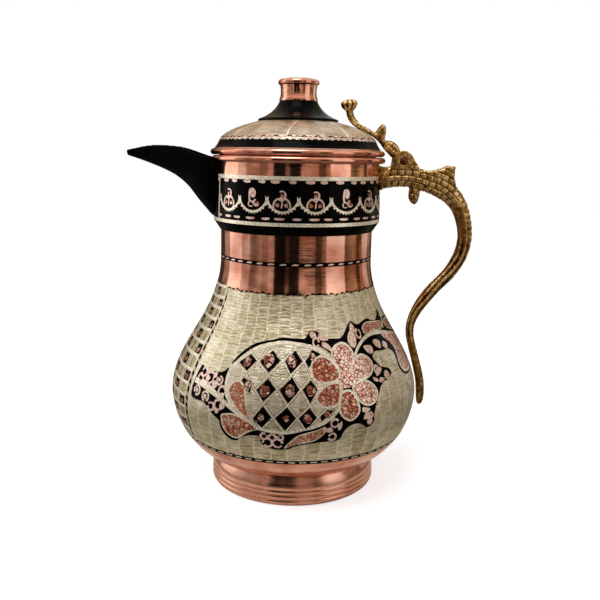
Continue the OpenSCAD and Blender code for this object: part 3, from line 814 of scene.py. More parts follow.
@dataclass
class Relief:
    """Thin raised figures that share a finish, drawn flat, cut small and laid on a skin."""

    name: str
    skin: Skin
    finish: Finish
    lift: float                 # height of the top above the skin, mm
    root: float = 0.12          # depth of the underside below the skin, mm
    cut: float = 3.2            # largest face, mm
    crease: float = 30.0        # sharpest edge that is still shaded smooth, degrees
    outlines: list[list[Point]] = field(default_factory=list)

    def draw(self, *outlines: list[Point]) -> "Relief":
        """Adds outlines to the drawing."""
        self.outlines.extend(outlines)
        return self

    def steps(self, count: int) -> list[tuple[int, float]]:
        """Returns the number and the x, mm, of each of the even steps round the skin."""
        return [(i, TURN * self.skin.radius * i / count) for i in range(count)]

    def flat_mesh(self) -> bpy.types.Object:
        """Makes one filled flat ring for each outline.

        Returns:
            The object with all the rings.
        """
        bpy.ops.object.select_all(action="DESELECT")
        bpy.ops.mesh.primitive_circle_add(vertices=len(self.outlines[0]), fill_type="NGON")
        piece = bpy.context.active_object
        bpy.ops.object.mode_set(mode="EDIT")
        for outline in self.outlines[1:]:
            bpy.ops.mesh.primitive_circle_add(vertices=len(outline), fill_type="NGON")
        bpy.ops.object.mode_set(mode="OBJECT")
        flat = [c for outline in self.outlines for x, y in outline for c in (x * MM, y * MM, -self.root * MM)]
        piece.data.vertices.foreach_set("co", flat)
        piece.data.update()
        return piece

    def build(self, body: Body, slot: str) -> bpy.types.Object:
        """Thickens, cuts and lays the figures.

        Args:
            body: The body that the figures ride on.
            slot: Not used.

        Returns:
            The finished piece.
        """
        piece = self.flat_mesh()
        edit_mesh(piece)
        bpy.ops.mesh.select_all(action="SELECT")
        bpy.ops.mesh.extrude_region_move(TRANSFORM_OT_translate={"value": (0, 0,
            (self.root + self.lift) * MM)})
        for axis in (0, 1):
            low = min(p[axis] for outline in self.outlines for p in outline)
            high = max(p[axis] for outline in self.outlines for p in outline)
            normal = (1, 0, 0) if axis == 0 else (0, 1, 0)
            count = int((high - low) / self.cut)
            for k in range(1, count + 1):
                at = low + (high - low) * k / (count + 1)
                bpy.ops.mesh.select_all(action="SELECT")
                bpy.ops.mesh.bisect(plane_co=tuple(at * MM * n for n in normal), plane_no=normal)
        bpy.ops.object.mode_set(mode="OBJECT")
        points = [tuple(v.co / MM) for v in piece.data.vertices]
        laid = self.skin.wrap(points)
        piece.data.vertices.foreach_set("co", [c * MM for p in laid for c in p])
        piece.data.update()
        edit_mesh(piece)
        bpy.ops.mesh.select_all(action="SELECT")
        bpy.ops.mesh.normals_make_consistent(inside=False)
        bpy.ops.object.mode_set(mode="OBJECT")
        bpy.ops.object.shade_smooth_by_angle(angle=math.radians(self.crease))
        return settle(piece, self.name, body, self.finish)


# ------------------------------------------------------------------ the pot's lines

BELLY_RADIUS, NECK_RADIUS = 77.9, 46.9
CREASE, BELLY, NECK, COLLAR, CORNER = 16.6, 59.4, 144.0, 160.6, 166.2
DOME_Z, SEAT, KNOB, TOP = 214.0, 225.0, 236.6, 250.0
HINGE = (64.3, 202.8)
LOWER_BELLY = ((49.7, CREASE), (75.65, 27.83), (BELLY_RADIUS, 54.35), (BELLY_RADIUS, BELLY))
SHOULDER = ((BELLY_RADIUS, BELLY), (BELLY_RADIUS, 87.15), (NECK_RADIUS, 106.95), (NECK_RADIUS, NECK))
DISH = ((38.27, 13.5), (43.74, 13.5), (46.03, 15.01), (49.7, CREASE))
LID_DOME = ((24.5, 224.8), (33.2, 222.58), (43.51, 219.61), (47.4, DOME_Z))
LID_BAND = ((47.4, DOME_Z), (48.73, 211.09), (49.68, 209.52), (51.2, 208.3))
BELLY_LINE = bezier(LOWER_BELLY, 28)[:-1] + bezier(SHOULDER, 44)
BELLY_SKIN = Skin(tuple(BELLY_LINE + [(NECK_RADIUS, COLLAR)]), BELLY_RADIUS)
NECK_SKIN = Skin(BELLY_SKIN.profile, NECK_RADIUS)
COLLAR_SKIN = Skin(((NECK_RADIUS, COLLAR), (51.2, CORNER), (50.0, 202.35)), 50.6)
LID_SKIN = Skin(tuple(bezier(LID_DOME, 20)[::-1]), 40.0, by_height=False)
LID_BAND_SKIN = Skin(tuple(bezier(LID_BAND, 12)[::-1]), 49.0)
HALF_ROUND = math.pi * BELLY_SKIN.radius


def both_sides(outlines: list[list[Point]]) -> list[list[Point]]:
    """Returns a belly drawing and its mirror image on the far side of the pot."""
    return outlines + [[(HALF_ROUND - x, y) for x, y in outline] for outline in outlines]


@dataclass
class PotBody:
    """Belly and neck: one spun shell, with its foot."""

    copper_top: float = 35.0     # bare copper below, engraved tin above
    line_top: float = 37.7
    tin_top: float = 127.4
    neck_line: tuple[float, float] = (143.1, 145.6)
    wall: float = 1.2
    lap: float = 3.0             # the neck's lap inside the collar
    neck_dashes: int = 42
    belly_dashes: int = 72
    edge_cuts: int = 84

    @staticmethod
    def inside(radius: float, height: float, outward: float, up: float) -> bool:
        """Tells whether a face lies inside the pot or under the collar."""
        return height > COLLAR or (outward < -0.02 if height > 20 else up > 0.35 and radius < 47.0)

    def shell(self) -> bpy.types.Object:
        """Spins the shell and gives each band its finish.

        Returns:
            The shell.
        """
        outer = bezier(DISH, 8)[:-1] + with_heights(BELLY_LINE + [(NECK_RADIUS, COLLAR + self.lap)],
            [self.copper_top, self.line_top, self.tin_top, *self.neck_line])
        inner = offset_line(bezier(DISH, 8)[:-1] + BELLY_LINE, self.wall)
        bottom = DISH[0][1]
        profile = [(0, bottom), *outer, (NECK_RADIUS - self.wall, COLLAR + self.lap), *inner[::-1],
            (0, bottom + self.wall)]
        piece = spin_profile(profile, 224)
        bands = [(self.copper_top, 1), (self.line_top, 2), (self.tin_top, 0), (self.neck_line[0], 1),
            (self.neck_line[1], 2), (COLLAR, 1)]
        zone_slots(piece, [GROUND, COPPER, LACQUER, LINING], bands, self.inside)
        return settle(piece, "belly_and_neck", Body.POT, None, ("body_shell",))

    def foot(self) -> bpy.types.Object:
        """Spins the foot: three shallow turned beads under a rounded shoulder.

        Returns:
            The foot.
        """
        pitch, bead, bow = 3.05, 2.54, 36
        outer = [(51.2, 0.0)]
        for i in range(3):
            outer += arc((52.7 - bead - 0.1 * i, 1.5 + i * pitch), bead, -bow, bow, 10)
        seat = [(r + 0.04, z - 0.1) for r, z in bezier(DISH, 10)[5:]]
        profile = outer + [(52.35, 10.0), (52.2, 11.2), (51.8, 12.6), (51.2, 13.9), (50.5, 15.1),
            (49.85, 16.3)] + seat[::-1] + [(seat[0][0], 11.3), (47.0, 11.3), (48.7, 9.2), (49.3, 0.0),
            (51.2, 0.0)]
        return settle(spin_profile(profile, 192, 50), "foot_ring_turned", Body.POT, FOOT_COPPER,
            ("foot_ring",))

    def lines(self) -> None:
        """Lays the pale dashes on the black lines and the chiselled edge of the engraving."""
        neck = Relief("neck_line_dashes", NECK_SKIN, CURL, 0.16, root=0.05)
        for _, x in neck.steps(self.neck_dashes):
            neck.draw(smooth([(x - 2.1, 144.0), (x - 0.6, 144.8), (x + 2.1, 144.6), (x + 0.8, 143.9)],
                parts=3))
        neck.build(Body.POT, "tinned_copper")
        low = Relief("belly_line_dashes", BELLY_SKIN, LINE, 0.14, root=0.05)
        for _, x in low.steps(self.belly_dashes):
            low.draw(block(x, 36.4, 4.1, 0.55))
        low.build(Body.POT, "tinned_copper")
        edge = Relief("engraving_edge", BELLY_SKIN, LACQUER, 0.1, root=0.05)
        for i, x in edge.steps(self.edge_cuts):
            sway = 0.5 * math.sin(i * 2.4) + 0.3 * math.sin(i * 5.1)
            edge.draw(ribbon([(x - 2.4, 127.5 + sway), (x, 127.8 + 0.5 * sway), (x + 2.2 + sway, 127.3)], 1.2,
                0.5))
        edge.build(Body.POT, "black_lacquer")

    def build(self) -> None:
        """Builds the shell, the foot and their lines."""
        self.shell()
        self.foot()
        self.lines()


@dataclass
class BellyOrnament:
    """The engraved medallion with its flower, leaves and curls, on both sides of the belly."""

    # outlines in millimetres: round the belly at its widest, and up from the table
    black_left: tuple = ((-65.7, 85.1), (-61.6, 83.4), (-52.4, 84), (-48.2, 84.2), (-45.5, 85.4),
        (-42.8, 87.3), (-40.8, 83.7), (-38.7, 77.8), (-36, 73), (-32.7, 68.7), (-29.8, 65.3), (-37.3, 63),
        (-41.7, 62.1), (-42.3, 58.4), (-45.5, 59.8), (-49.3, 61.9), (-53.2, 64.7), (-56.5, 66.5), (-62, 66.3),
        (-68, 67.1), (-69, 72.3), (-68.3, 77.6), (-67.7, 82.7))
    black_leaf: tuple = ((-41.4, 63), (-43, 61.2), (-43.2, 57.6), (-42.2, 53.5), (-39.4, 50), (-35.6, 48.1),
        (-31.1, 48.8), (-31.2, 50.5), (-25.9, 58.5), (-30.8, 62.4))
    black_low: tuple = ((-29.1, 50.6), (-26.1, 53.8), (-22.4, 56.3), (-16.6, 57.4), (-9.3, 58), (-1.1, 58.4),
        (15.3, 63.8), (24.1, 69.7), (33.8, 72.9), (43.7, 71.5), (52, 71.2), (51.1, 67), (49.7, 62.7),
        (49.4, 58.6), (47.4, 56.6), (44.2, 55.8), (40.9, 58.3), (37.5, 59.4), (33.6, 58.9), (30.6, 57.1),
        (28.7, 54.3), (27.5, 51.7), (24.6, 50.3), (19.9, 50.4), (14.7, 50.4), (9.1, 49.5), (2.4, 48.4),
        (-2.1, 46.2), (-7.3, 45.6), (-12.4, 46), (-15.8, 47.5), (-17.7, 50.1), (-18, 53.2), (-22.5, 53.4),
        (-26.2, 52.5))
    black_top: tuple = ((-42.1, 89.9), (-40.2, 92.5), (-37.5, 95.3), (-33.2, 98.6), (-27.9, 101.2),
        (-21.3, 102.8), (-14.7, 103.9), (-9.6, 105), (-2.9, 105), (4.6, 104.8), (8.3, 104.9), (10.7, 107.3),
        (13.2, 108.6), (18.7, 108), (23, 105.5), (25.9, 104.4), (31.5, 104.1), (35.7, 104.1), (39.5, 105.9),
        (43.1, 108.8), (47.5, 111.7), (49.8, 112), (52.2, 110.5), (56.3, 109.8), (61.9, 110.9), (68, 111.7),
        (74.2, 110.2), (80.7, 109.6), (86.3, 111.5), (91.3, 114.7), (93.5, 112), (94.2, 109.5), (108, 108.4),
        (118.8, 103.7), (117.3, 101.1), (119.2, 96.8), (119.6, 91.8), (117.2, 87.9), (116.4, 81.3),
        (110.2, 77.2), (101.6, 75.7), (90.7, 76.2), (85.2, 79.3), (83.6, 83.1), (85.2, 86.8), (85.8, 89.6),
        (83.5, 91.7), (80.2, 93.2), (71.8, 93.7), (64.8, 94.3), (60.6, 93.3), (59.1, 91.4), (60.7, 89.3),
        (62.9, 86.6), (66.4, 85.4), (70.6, 84.1), (71.9, 81.9), (69.7, 79.9), (66, 78.6), (61.8, 78.4),
        (58.1, 76.6), (55.7, 73.8), (52.9, 69.9), (48.1, 67), (33.3, 69.2), (22.1, 79), (24.2, 91.3),
        (15.2, 100), (4.5, 102.5), (-0.6, 103.1), (-6.5, 103.5), (-13.1, 103), (-20.3, 101.7), (-26.6, 99.8),
        (-31.9, 97.1), (-36.1, 94.1), (-38.9, 91.5), (-41.2, 89.3))
    plate: tuple = ((-42.1, 88.2), (-43.2, 83.9), (-43, 79.8), (-42, 75.7), (-39.9, 71.9), (-36.6, 68.9),
        (-33, 66.5), (-29.7, 64.5), (-26, 62.6), (-22.9, 60.1), (-18.9, 57.2), (-13.2, 56.5), (-6.6, 55.6),
        (-2.2, 55.8), (2.2, 57.1), (6.5, 58), (10.9, 58.8), (15.3, 60.1), (19.3, 61.9), (22.7, 64.7),
        (25.8, 68.2), (28.8, 73.4), (30.7, 80.9), (30.5, 88.4), (28.3, 93.5), (24.9, 97.2), (20.3, 99.8),
        (15.4, 101.2), (9.6, 102), (4.5, 102.5), (-0.6, 103.1), (-6.5, 103.5), (-13.1, 103), (-20.3, 101.7),
        (-26.6, 99.8), (-31.9, 97.1), (-36.1, 94.1), (-38.9, 91.5))
    border_top: tuple = ((-34.5, 67.9), (-38, 71.1), (-40.5, 74.9), (-41.7, 78.9), (-41.9, 82.5),
        (-40.9, 86.5), (-38.9, 89.8), (-35, 93.4), (-30.1, 96.6), (-24.8, 99), (-18.6, 100.9), (-12.2, 102.1),
        (-5.6, 102.6), (0.9, 102.2), (7.4, 101.5), (13.1, 100.3), (18.6, 98.4), (23.1, 95.8), (27.1, 91.6))
    border_low: tuple = ((27.8, 70.4), (24.6, 66.9), (21.6, 64.2), (18.1, 62.1), (14.2, 60.5), (9.8, 59.3),
        (5.4, 58.5), (0.6, 57.2), (-4.4, 56.5), (-9.9, 56.8), (-15.5, 57.4), (-20, 58.4))
    lattice: tuple = (((-30.7, 82.5), (-23.3, 92.4), (-17, 100.3)), ((-22.3, 78.3), (-15.3, 86.1),
        (-6.9, 93.5), (2, 101.1)), ((-21.6, 64.8), (-16.5, 71.7), (-8.9, 79.4), (-1.3, 86.6), (7, 93.5),
        (13.3, 98.8)), ((-16.6, 58.3), (-10.4, 64.7), (-2.8, 71.7), (4.8, 79.6), (11.1, 86.4)),
        ((-3.8, 57.1), (2.8, 64.9), (9.8, 71.5), (15.2, 76.4)), ((7.6, 58.7), (14.5, 65.5), (20, 70)),
        ((-30, 85.6), (-22.3, 78.3), (-16.5, 71.7), (-10.4, 64.7), (-4.4, 57.1)),
        ((-31.3, 97.7), (-23.3, 92.4), (-15.3, 86.1), (-8.9, 79.4), (-2.8, 71.7), (2.8, 64.9), (7.1, 58.7)),
        ((-14.9, 101.1), (-6.9, 93.5), (-1.3, 86.6), (4.8, 79.6), (9.8, 71.5), (15.3, 63.8)),
        ((2.4, 100.6), (7, 93.5), (11.1, 86.4), (14.4, 81.4)), ((-23.8, 66.7), (-20.1, 62.2), (-16.6, 57.4)))
    diamonds: tuple = (((-29.6, 95.1), (-25.1, 92.5), (-29.9, 87.6), (-36.3, 90.9)),
        ((-14.4, 98.1), (-8.9, 93.5), (-15.3, 88), (-21.6, 92.5)), ((1.3, 98.4), (5.4, 93.5), (-1.6, 87.8),
        (-4.9, 93.6)), ((12.9, 98.6), (18.3, 96.9), (10.2, 90.8), (8.4, 93.5)),
        ((-30.7, 83.5), (-25.1, 81.1), (-25.4, 76.5), (-31.3, 81.9)),
        ((-15.3, 84.1), (-10.4, 79.4), (-16.6, 73.5), (-20.8, 78.5)),
        ((-0.6, 85.4), (3.3, 79.6), (-2.5, 73.2), (-7.2, 79.3)), ((10.9, 83.9), (14.2, 79.4), (10.1, 73.3),
        (6.3, 79.6)), ((-16.5, 69.9), (-12, 64.9), (-16.6, 59.1), (-21.6, 63.4)),
        ((-3, 70.1), (1.5, 64.9), (-3.6, 58.3), (-8.9, 64.6)), ((9.5, 69.7), (13.1, 65), (7.9, 59),
        (4, 64.9)), ((19.4, 68.4), (22.8, 68), (16.4, 63.2), (15.9, 65.7)))
    diamond_florets: tuple = ((-30.9, 91.5, 2.6), (-16.3, 93.4, 3.4), (-0.9, 93.4, 2.9), (12.9, 95.8, 1.9),
        (-27.4, 80, 2.5), (-16.5, 78.3, 2.9), (-1.6, 79, 3), (10.7, 79, 2.6), (-17.3, 64.4, 1.9),
        (-3.4, 64.8, 1.7), (8.4, 64.6, 2.4), (19.3, 66.6, 1.6))
    petals: tuple = (((35.8, 102.1), (40.3, 100.7), (43.1, 97.4), (43.1, 93.8), (39.9, 90.1), (37.2, 86.8),
        (33.8, 85.1), (30.9, 87.3), (28.3, 90.5), (26.4, 94.6), (26.7, 98.6), (30.6, 101.1)),
        ((49, 95), (54.3, 93), (56.9, 89.6), (55.6, 86.1), (52.4, 83.4), (47.6, 82), (42.3, 82.2),
        (37.7, 83.7), (37, 86.3), (39, 89.6), (42.9, 93.3)), ((40.7, 81.9), (46, 82), (50.8, 80), (54, 76.3),
        (54, 72.5), (51.2, 69.2), (46.8, 68), (42.6, 69), (39, 72.2), (37, 76.1), (36.5, 79.8)),
        ((31.5, 78.3), (35.4, 77.9), (38, 74.5), (39.6, 70), (39.6, 66.2), (37.4, 63.2), (33.6, 61.4),
        (29.9, 62.8), (26.9, 66.2), (26.3, 70), (27.3, 74.1), (28.7, 77)),
        ((27.8, 82.6), (29.3, 80.5), (28.6, 76.5), (27.4, 72.5), (23.6, 70), (18.9, 69.8), (14.9, 71.8),
        (13.1, 74.9), (14.8, 78.4), (18, 80.7), (22.6, 82.5)), ((18.9, 96.2), (23, 95.3), (27.2, 92.1),
        (29.7, 87.9), (29.5, 84.5), (25.8, 82.8), (20, 82.1), (15.1, 82.8), (11.7, 85.9), (11, 89.8),
        (12.4, 93.7), (15.3, 95.5)))
    flower_eye: tuple = ((30.7, 86.4), (35.9, 87.2), (40.3, 85), (40, 81.9), (36.5, 79.8), (32.3, 79),
        (29.3, 80.5), (28.3, 83.6))
    teardrop: tuple = ((-34.7, 82), (-31.4, 81.1), (-28.6, 78.1), (-27.1, 73.7), (-25.6, 69.2), (-24.3, 65),
        (-23.3, 61.8), (-26.6, 63.6), (-30.4, 65.8), (-34.7, 69.2), (-37.7, 72.8), (-39.3, 76.2),
        (-38.6, 79.7))
    low_leaf: tuple = ((-42, 62), (-40, 63.4), (-34.8, 64.4), (-29.7, 63.7), (-25.3, 62.1), (-22.3, 60.2),
        (-18.9, 57.9), (-23.6, 55.6), (-28, 52.7), (-32, 50), (-35.9, 50.5), (-39.3, 52.9), (-41.4, 56.8))
    foot_leaf: tuple = ((-4.4, 47), (-1, 51.3), (2.8, 54.8), (7.7, 56.6), (13.2, 57.9), (18.2, 59.7),
        (18.8, 57.3), (16.7, 54.4), (12.9, 51.8), (7.9, 50.4), (2.3, 49.5), (-1.6, 47.8))
    top_leaf: tuple = ((60, 108.4), (65.1, 110), (75, 109.4), (85.2, 108.4), (89.7, 106.9), (87.1, 105),
        (79.5, 103.5), (69.9, 104.8), (63.9, 104.1), (59.3, 104.4), (58.5, 106.4))
    long_leaf: tuple = ((81, 103.3), (95.3, 100.7), (108.6, 97.7), (114, 92.5), (115.4, 87.3), (114, 82.1),
        (109.2, 78.7), (102.2, 76.8), (92.3, 77.3), (87.1, 80), (86.2, 84.3), (89, 88.4), (89.8, 92.8),
        (84.9, 97.2), (80.2, 100.2))
    side_leaf: tuple = ((103.9, 107.8), (114, 104.6), (114.3, 101), (110.1, 99.3), (99.7, 101.6),
        (94.2, 103.9), (95.2, 106.7))
    curls: tuple = ((-61.6, 82, 2.3, 200), (-55.1, 80.1, 3, 60), (-63.2, 78.4, 2.2, 100),
        (-47, 79.9, 2.1, 140), (-43.5, 75, 2.4, 20), (-63.3, 71.5, 2.5, 250), (-55.2, 69.9, 2.6, 300),
        (-44.6, 67.3, 2.7, 80), (-49.9, 65.4, 2.2, 180), (-13.7, 49.9, 2.6, 220), (-8, 50.1, 2.7, 0),
        (16.3, 102.7, 2.2, 0), (53, 105, 2.3, 90), (23.9, 61.4, 2.2, 30), (22.6, 53.4, 2.1, 200),
        (-15.6, 53.8, 1.8, 60), (-10.9, 53.4, 1.9, 300), (-6.4, 53.6, 1.6, 150), (58.6, 85.2, 2.1, 40),
        (66.3, 81.2, 2.0, 200), (46.2, 62.6, 2.0, 120))
    beads: tuple = ((-51.5, 82.3, 1.5), (-50, 77.3, 2), (-43.1, 72.4, 1.6), (-41.8, 67.1, 1.7),
        (-45.4, 63.9, 1.4), (-56.3, 79.6, 1.3), (-58.6, 83, 1.1), (-55.5, 69.7, 1.2), (-63.6, 71.6, 1.1),
        (-47.2, 80.1, 0.9))
    small_petals: tuple = (((13.2, 108.3), (16.2, 107.5), (16.6, 105), (13.6, 104.8), (11.8, 106.6)),
        ((19.4, 107.4), (23, 105.8), (25.7, 103.6), (20.2, 103.6), (18.2, 105.4)),
        ((20.9, 102.8), (24.5, 101.9), (27, 99.5), (27.9, 97.5), (23.1, 99.2), (20.5, 100.8)),
        ((48.3, 111.3), (50.8, 108.2), (48.9, 105.7), (45.6, 107)), ((46.1, 107), (49.5, 104.1), (48.1, 100),
        (44.5, 98.3), (41.6, 101.6), (42.8, 105.1)), ((68, 100.3), (73, 98.5), (71.1, 95), (66.8, 96.4),
        (65, 99.1)), ((53.9, 98.3), (60.9, 97.8), (61.7, 94.7), (58.2, 93.6), (55, 95.6)),
        ((76.9, 97.9), (81.1, 96.1), (78.9, 93.4), (74.9, 95.2)), ((59.8, 86.5), (63.1, 85.4), (60.6, 83.2),
        (56.7, 82.2), (57.2, 84.8)), ((65.9, 83.3), (68.7, 81.7), (65.8, 80.1), (63.3, 81.1)),
        ((59.9, 81.1), (62.9, 79.5), (59.3, 78.3), (57.5, 79.4)), ((53.5, 82.2), (56.5, 80.9), (56.6, 79.3),
        (53.5, 80.3)), ((41.8, 68), (46.6, 66.4), (44.3, 64.8), (41.2, 65.6)),
        ((43.6, 64.7), (47.1, 63.7), (46.4, 61), (41.8, 61.3)), ((44.9, 60.4), (48.2, 59.7), (46.6, 57.4),
        (44.3, 58.4)), ((18.2, 58.2), (21.6, 59.1), (22.9, 56.9), (20, 56.3)),
        ((25.7, 60.1), (28, 61.9), (27.8, 58.1), (26.1, 57.1)))
    stems: tuple = ((((43.8, 94.2), (47.6, 97.4), (53.3, 100.5), (60.3, 102.7), (68.6, 103.5), (80.3, 102.8)),
        1.5, 2.2), (((-67.5, 76.4), (-58.6, 75.3), (-50.8, 73.3), (-44, 71.1), (-38.6, 68.6), (-32.9, 65.7),
        (-27.8, 62.9), (-22.9, 59.8), (-18.9, 57.7)), 2.9, 1.5), (((-60.9, 77.8), (-53.4, 75.8),
        (-46.9, 73.3), (-40.2, 70.2)), 1.3, 0.8), (((95.1, 112.7), (93.8, 108.7), (88, 104.2)), 0.6, 1.3))

    def relief(self, name: str, finish: Finish, lift: float, outlines: list[list[Point]], slot: str) -> None:
        """Builds one layer of the drawing on both sides of the belly."""
        Relief(name, BELLY_SKIN, finish, lift).draw(*both_sides(outlines)).build(Body.POT, slot)

    @staticmethod
    def soften(outlines: tuple | list, gap: float = 0.0) -> list[list[Point]]:
        """Returns outlines drawn in by a gap, where it isn't 0, and rounded."""
        return [smooth(shrink(outline, gap) if gap else outline, parts=3) for outline in outlines]

    def build(self) -> None:
        """Builds the drawing from its lowest layer up."""
        tin, black, copper = "tinned_copper", "black_lacquer", "copper"
        leaves = (self.teardrop, self.low_leaf, self.foot_leaf, self.top_leaf, self.long_leaf, self.side_leaf)
        lines = [ribbon(self.border_top, 1.7), ribbon(self.border_low, 1.5)]
        lines += [ribbon(line, 0.8) for line in self.lattice]
        lines += [ribbon(line, start, end) for line, start, end in self.stems]
        fine = self.soften((self.teardrop, self.foot_leaf, self.top_leaf, self.side_leaf), 1.0)
        buds = [rosette((x, y), 1.12 * size, 2 + i % 2, x, 0.2) for i, (x, y,
            size) in enumerate(self.diamond_florets)]
        pale = self.soften(self.petals[:3],
            1.1) + self.soften([self.flower_eye]) + self.soften([self.long_leaf], 1.6)
        small = self.soften(self.small_petals)
        small += [curl((x, y), radius, 1.45, start, 325) for x, y, radius, start in self.curls]
        small += [rosette((x, y), 1.15 * radius, 3, x, 0.15) for x, y, radius in self.beads]
        ground = self.soften((self.black_left, self.black_leaf, self.black_low, self.black_top))
        self.relief("ornament_black_ground", LACQUER, 0.06, ground, black)
        self.relief("medallion_plate", PLATE, 0.14, self.soften([self.plate]), tin)
        # painted shadow: a wider dark ribbon under each bright lattice line
        self.relief("lattice_shadows", SHADE, 0.17, [ribbon(line, 1.5) for line in self.lattice], tin)
        self.relief("medallion_lines", LINE, 0.2, lines, tin)
        self.relief("medallion_diamonds", LACQUER, 0.22, [shrink(diamond, -0.45)
            for diamond in self.diamonds], black)
        self.relief("petal_and_leaf_borders", LINE, 0.26, self.soften((*self.petals, *leaves)), tin)
        red = self.soften(self.petals[3:], 1.15) + self.soften([self.low_leaf], 1.0)
        self.relief("red_copper_petals", PETAL, 0.34, red, copper)
        self.relief("hatched_copper_leaves", FINE_COPPER, 0.34, fine, copper)
        self.relief("diamond_buds", BUD, 0.34, buds, copper)
        self.relief("pink_copper_petals", PALE_PETAL, 0.36, pale, copper)
        self.relief("curls_and_florets", CURL, 0.28, small, tin)


@dataclass
class LadderBand:
    """Chequered ladder under the beak, between two dashed borders."""

    half: float = 38.0           # half of its width, degrees either side of the beak
    rungs: tuple = (127.0, 120.8, 114.6, 108.3, 101.9, 94.8, 87.4, 79.7, 72.2, 65.0, 58.0, 51.0, 44.0)
    square: float = 8.8          # pitch of the squares, degrees
    beak: float = -90.0          # direction of its middle, degrees
    first: float = -93.2         # direction of the middle column, degrees
    dash_pitch: float = 4.7      # of the borders' dashes, mm
    low: float = 38.5
    high: float = 126.9
    skin: Skin = Skin(BELLY_SKIN.profile, 180 / math.pi)

    def build(self) -> None:
        """Builds the tan ground, the borders, the rungs and the hatched squares."""
        middle, low, high = self.beak, self.low, self.high
        tan = Relief("ladder_ground", self.skin, LADDER, 0.07)
        pale = Relief("ladder_rungs", self.skin, LINE, 0.18)
        dark = Relief("ladder_dashes", self.skin, LACQUER, 0.14)
        red = Relief("ladder_squares", self.skin, PETAL, 0.22)
        tan.draw(block(middle, (low + high) / 2, 2 * self.half, high - low))
        for side in (-1, 1):
            edge = middle + side * self.half
            steps = [low + (high - low) * i / 12 for i in range(13)]
            pale.draw(ribbon([(edge + side * 0.1, z) for z in steps], 0.6),
                ribbon([(edge - side * 2.9, z) for z in steps], 0.7))
            z, i = low + 1, 0
            while z < high - 3:
                tall = 3.4 + 0.6 * math.sin(i * 2.3)
                dark.draw([(edge - side * 0.6, z), (edge - side * 2.2, z + 0.9),
                    (edge - side * 2.1, z + tall), (edge - side * 0.7, z + tall - 0.9)])
                z, i = z + self.dash_pitch, i + 1
        inner = self.half - 3.0
        for i, z in enumerate(self.rungs):
            sway = 0.35 * math.sin(i * 1.9)
            pale.draw(ribbon([(middle - inner, z + sway), (middle - inner / 2, z - 0.2), (middle, z + 0.2),
                (middle + inner / 2, z - sway), (middle + inner, z + 0.5)], 1.7))
        for row, (top, bottom) in enumerate(zip(self.rungs, self.rungs[1:])):
            tall, z = top - bottom - 1.6, (top + bottom) / 2
            for column in range(-3, 5):
                x = self.first + column * self.square
                if abs(x - middle) > inner - 1.5:
                    continue
                if (row + column) % 2 == 0:
                    pale.draw(block(x - 2.4, z, 0.55, tall + 1.0, 0.3),
                        block(x + 2.9, z, 0.55, tall + 1.0, -0.2))
                    continue
                dark.draw([(x - 2.5, z - tall / 2), (x + 2.6, z - tall / 2 + 0.3), (x + 2.4, z + tall / 2),
                    (x - 2.6, z + tall / 2 - 0.3)])
                red.draw(smooth([(x - 1.2, z - 1.5), (x + 0.6, z - 1.6), (x + 1.5, z - 0.2),
                    (x + 0.9, z + 1.3), (x - 0.2, z + 0.3), (x - 1.4, z + 0.8)], parts=3))
        layers = ((tan, "tinned_copper"), (pale, "tinned_copper"), (dark, "black_lacquer"), (red, "copper"))
        for relief, slot in layers:
            relief.build(Body.POT, slot)


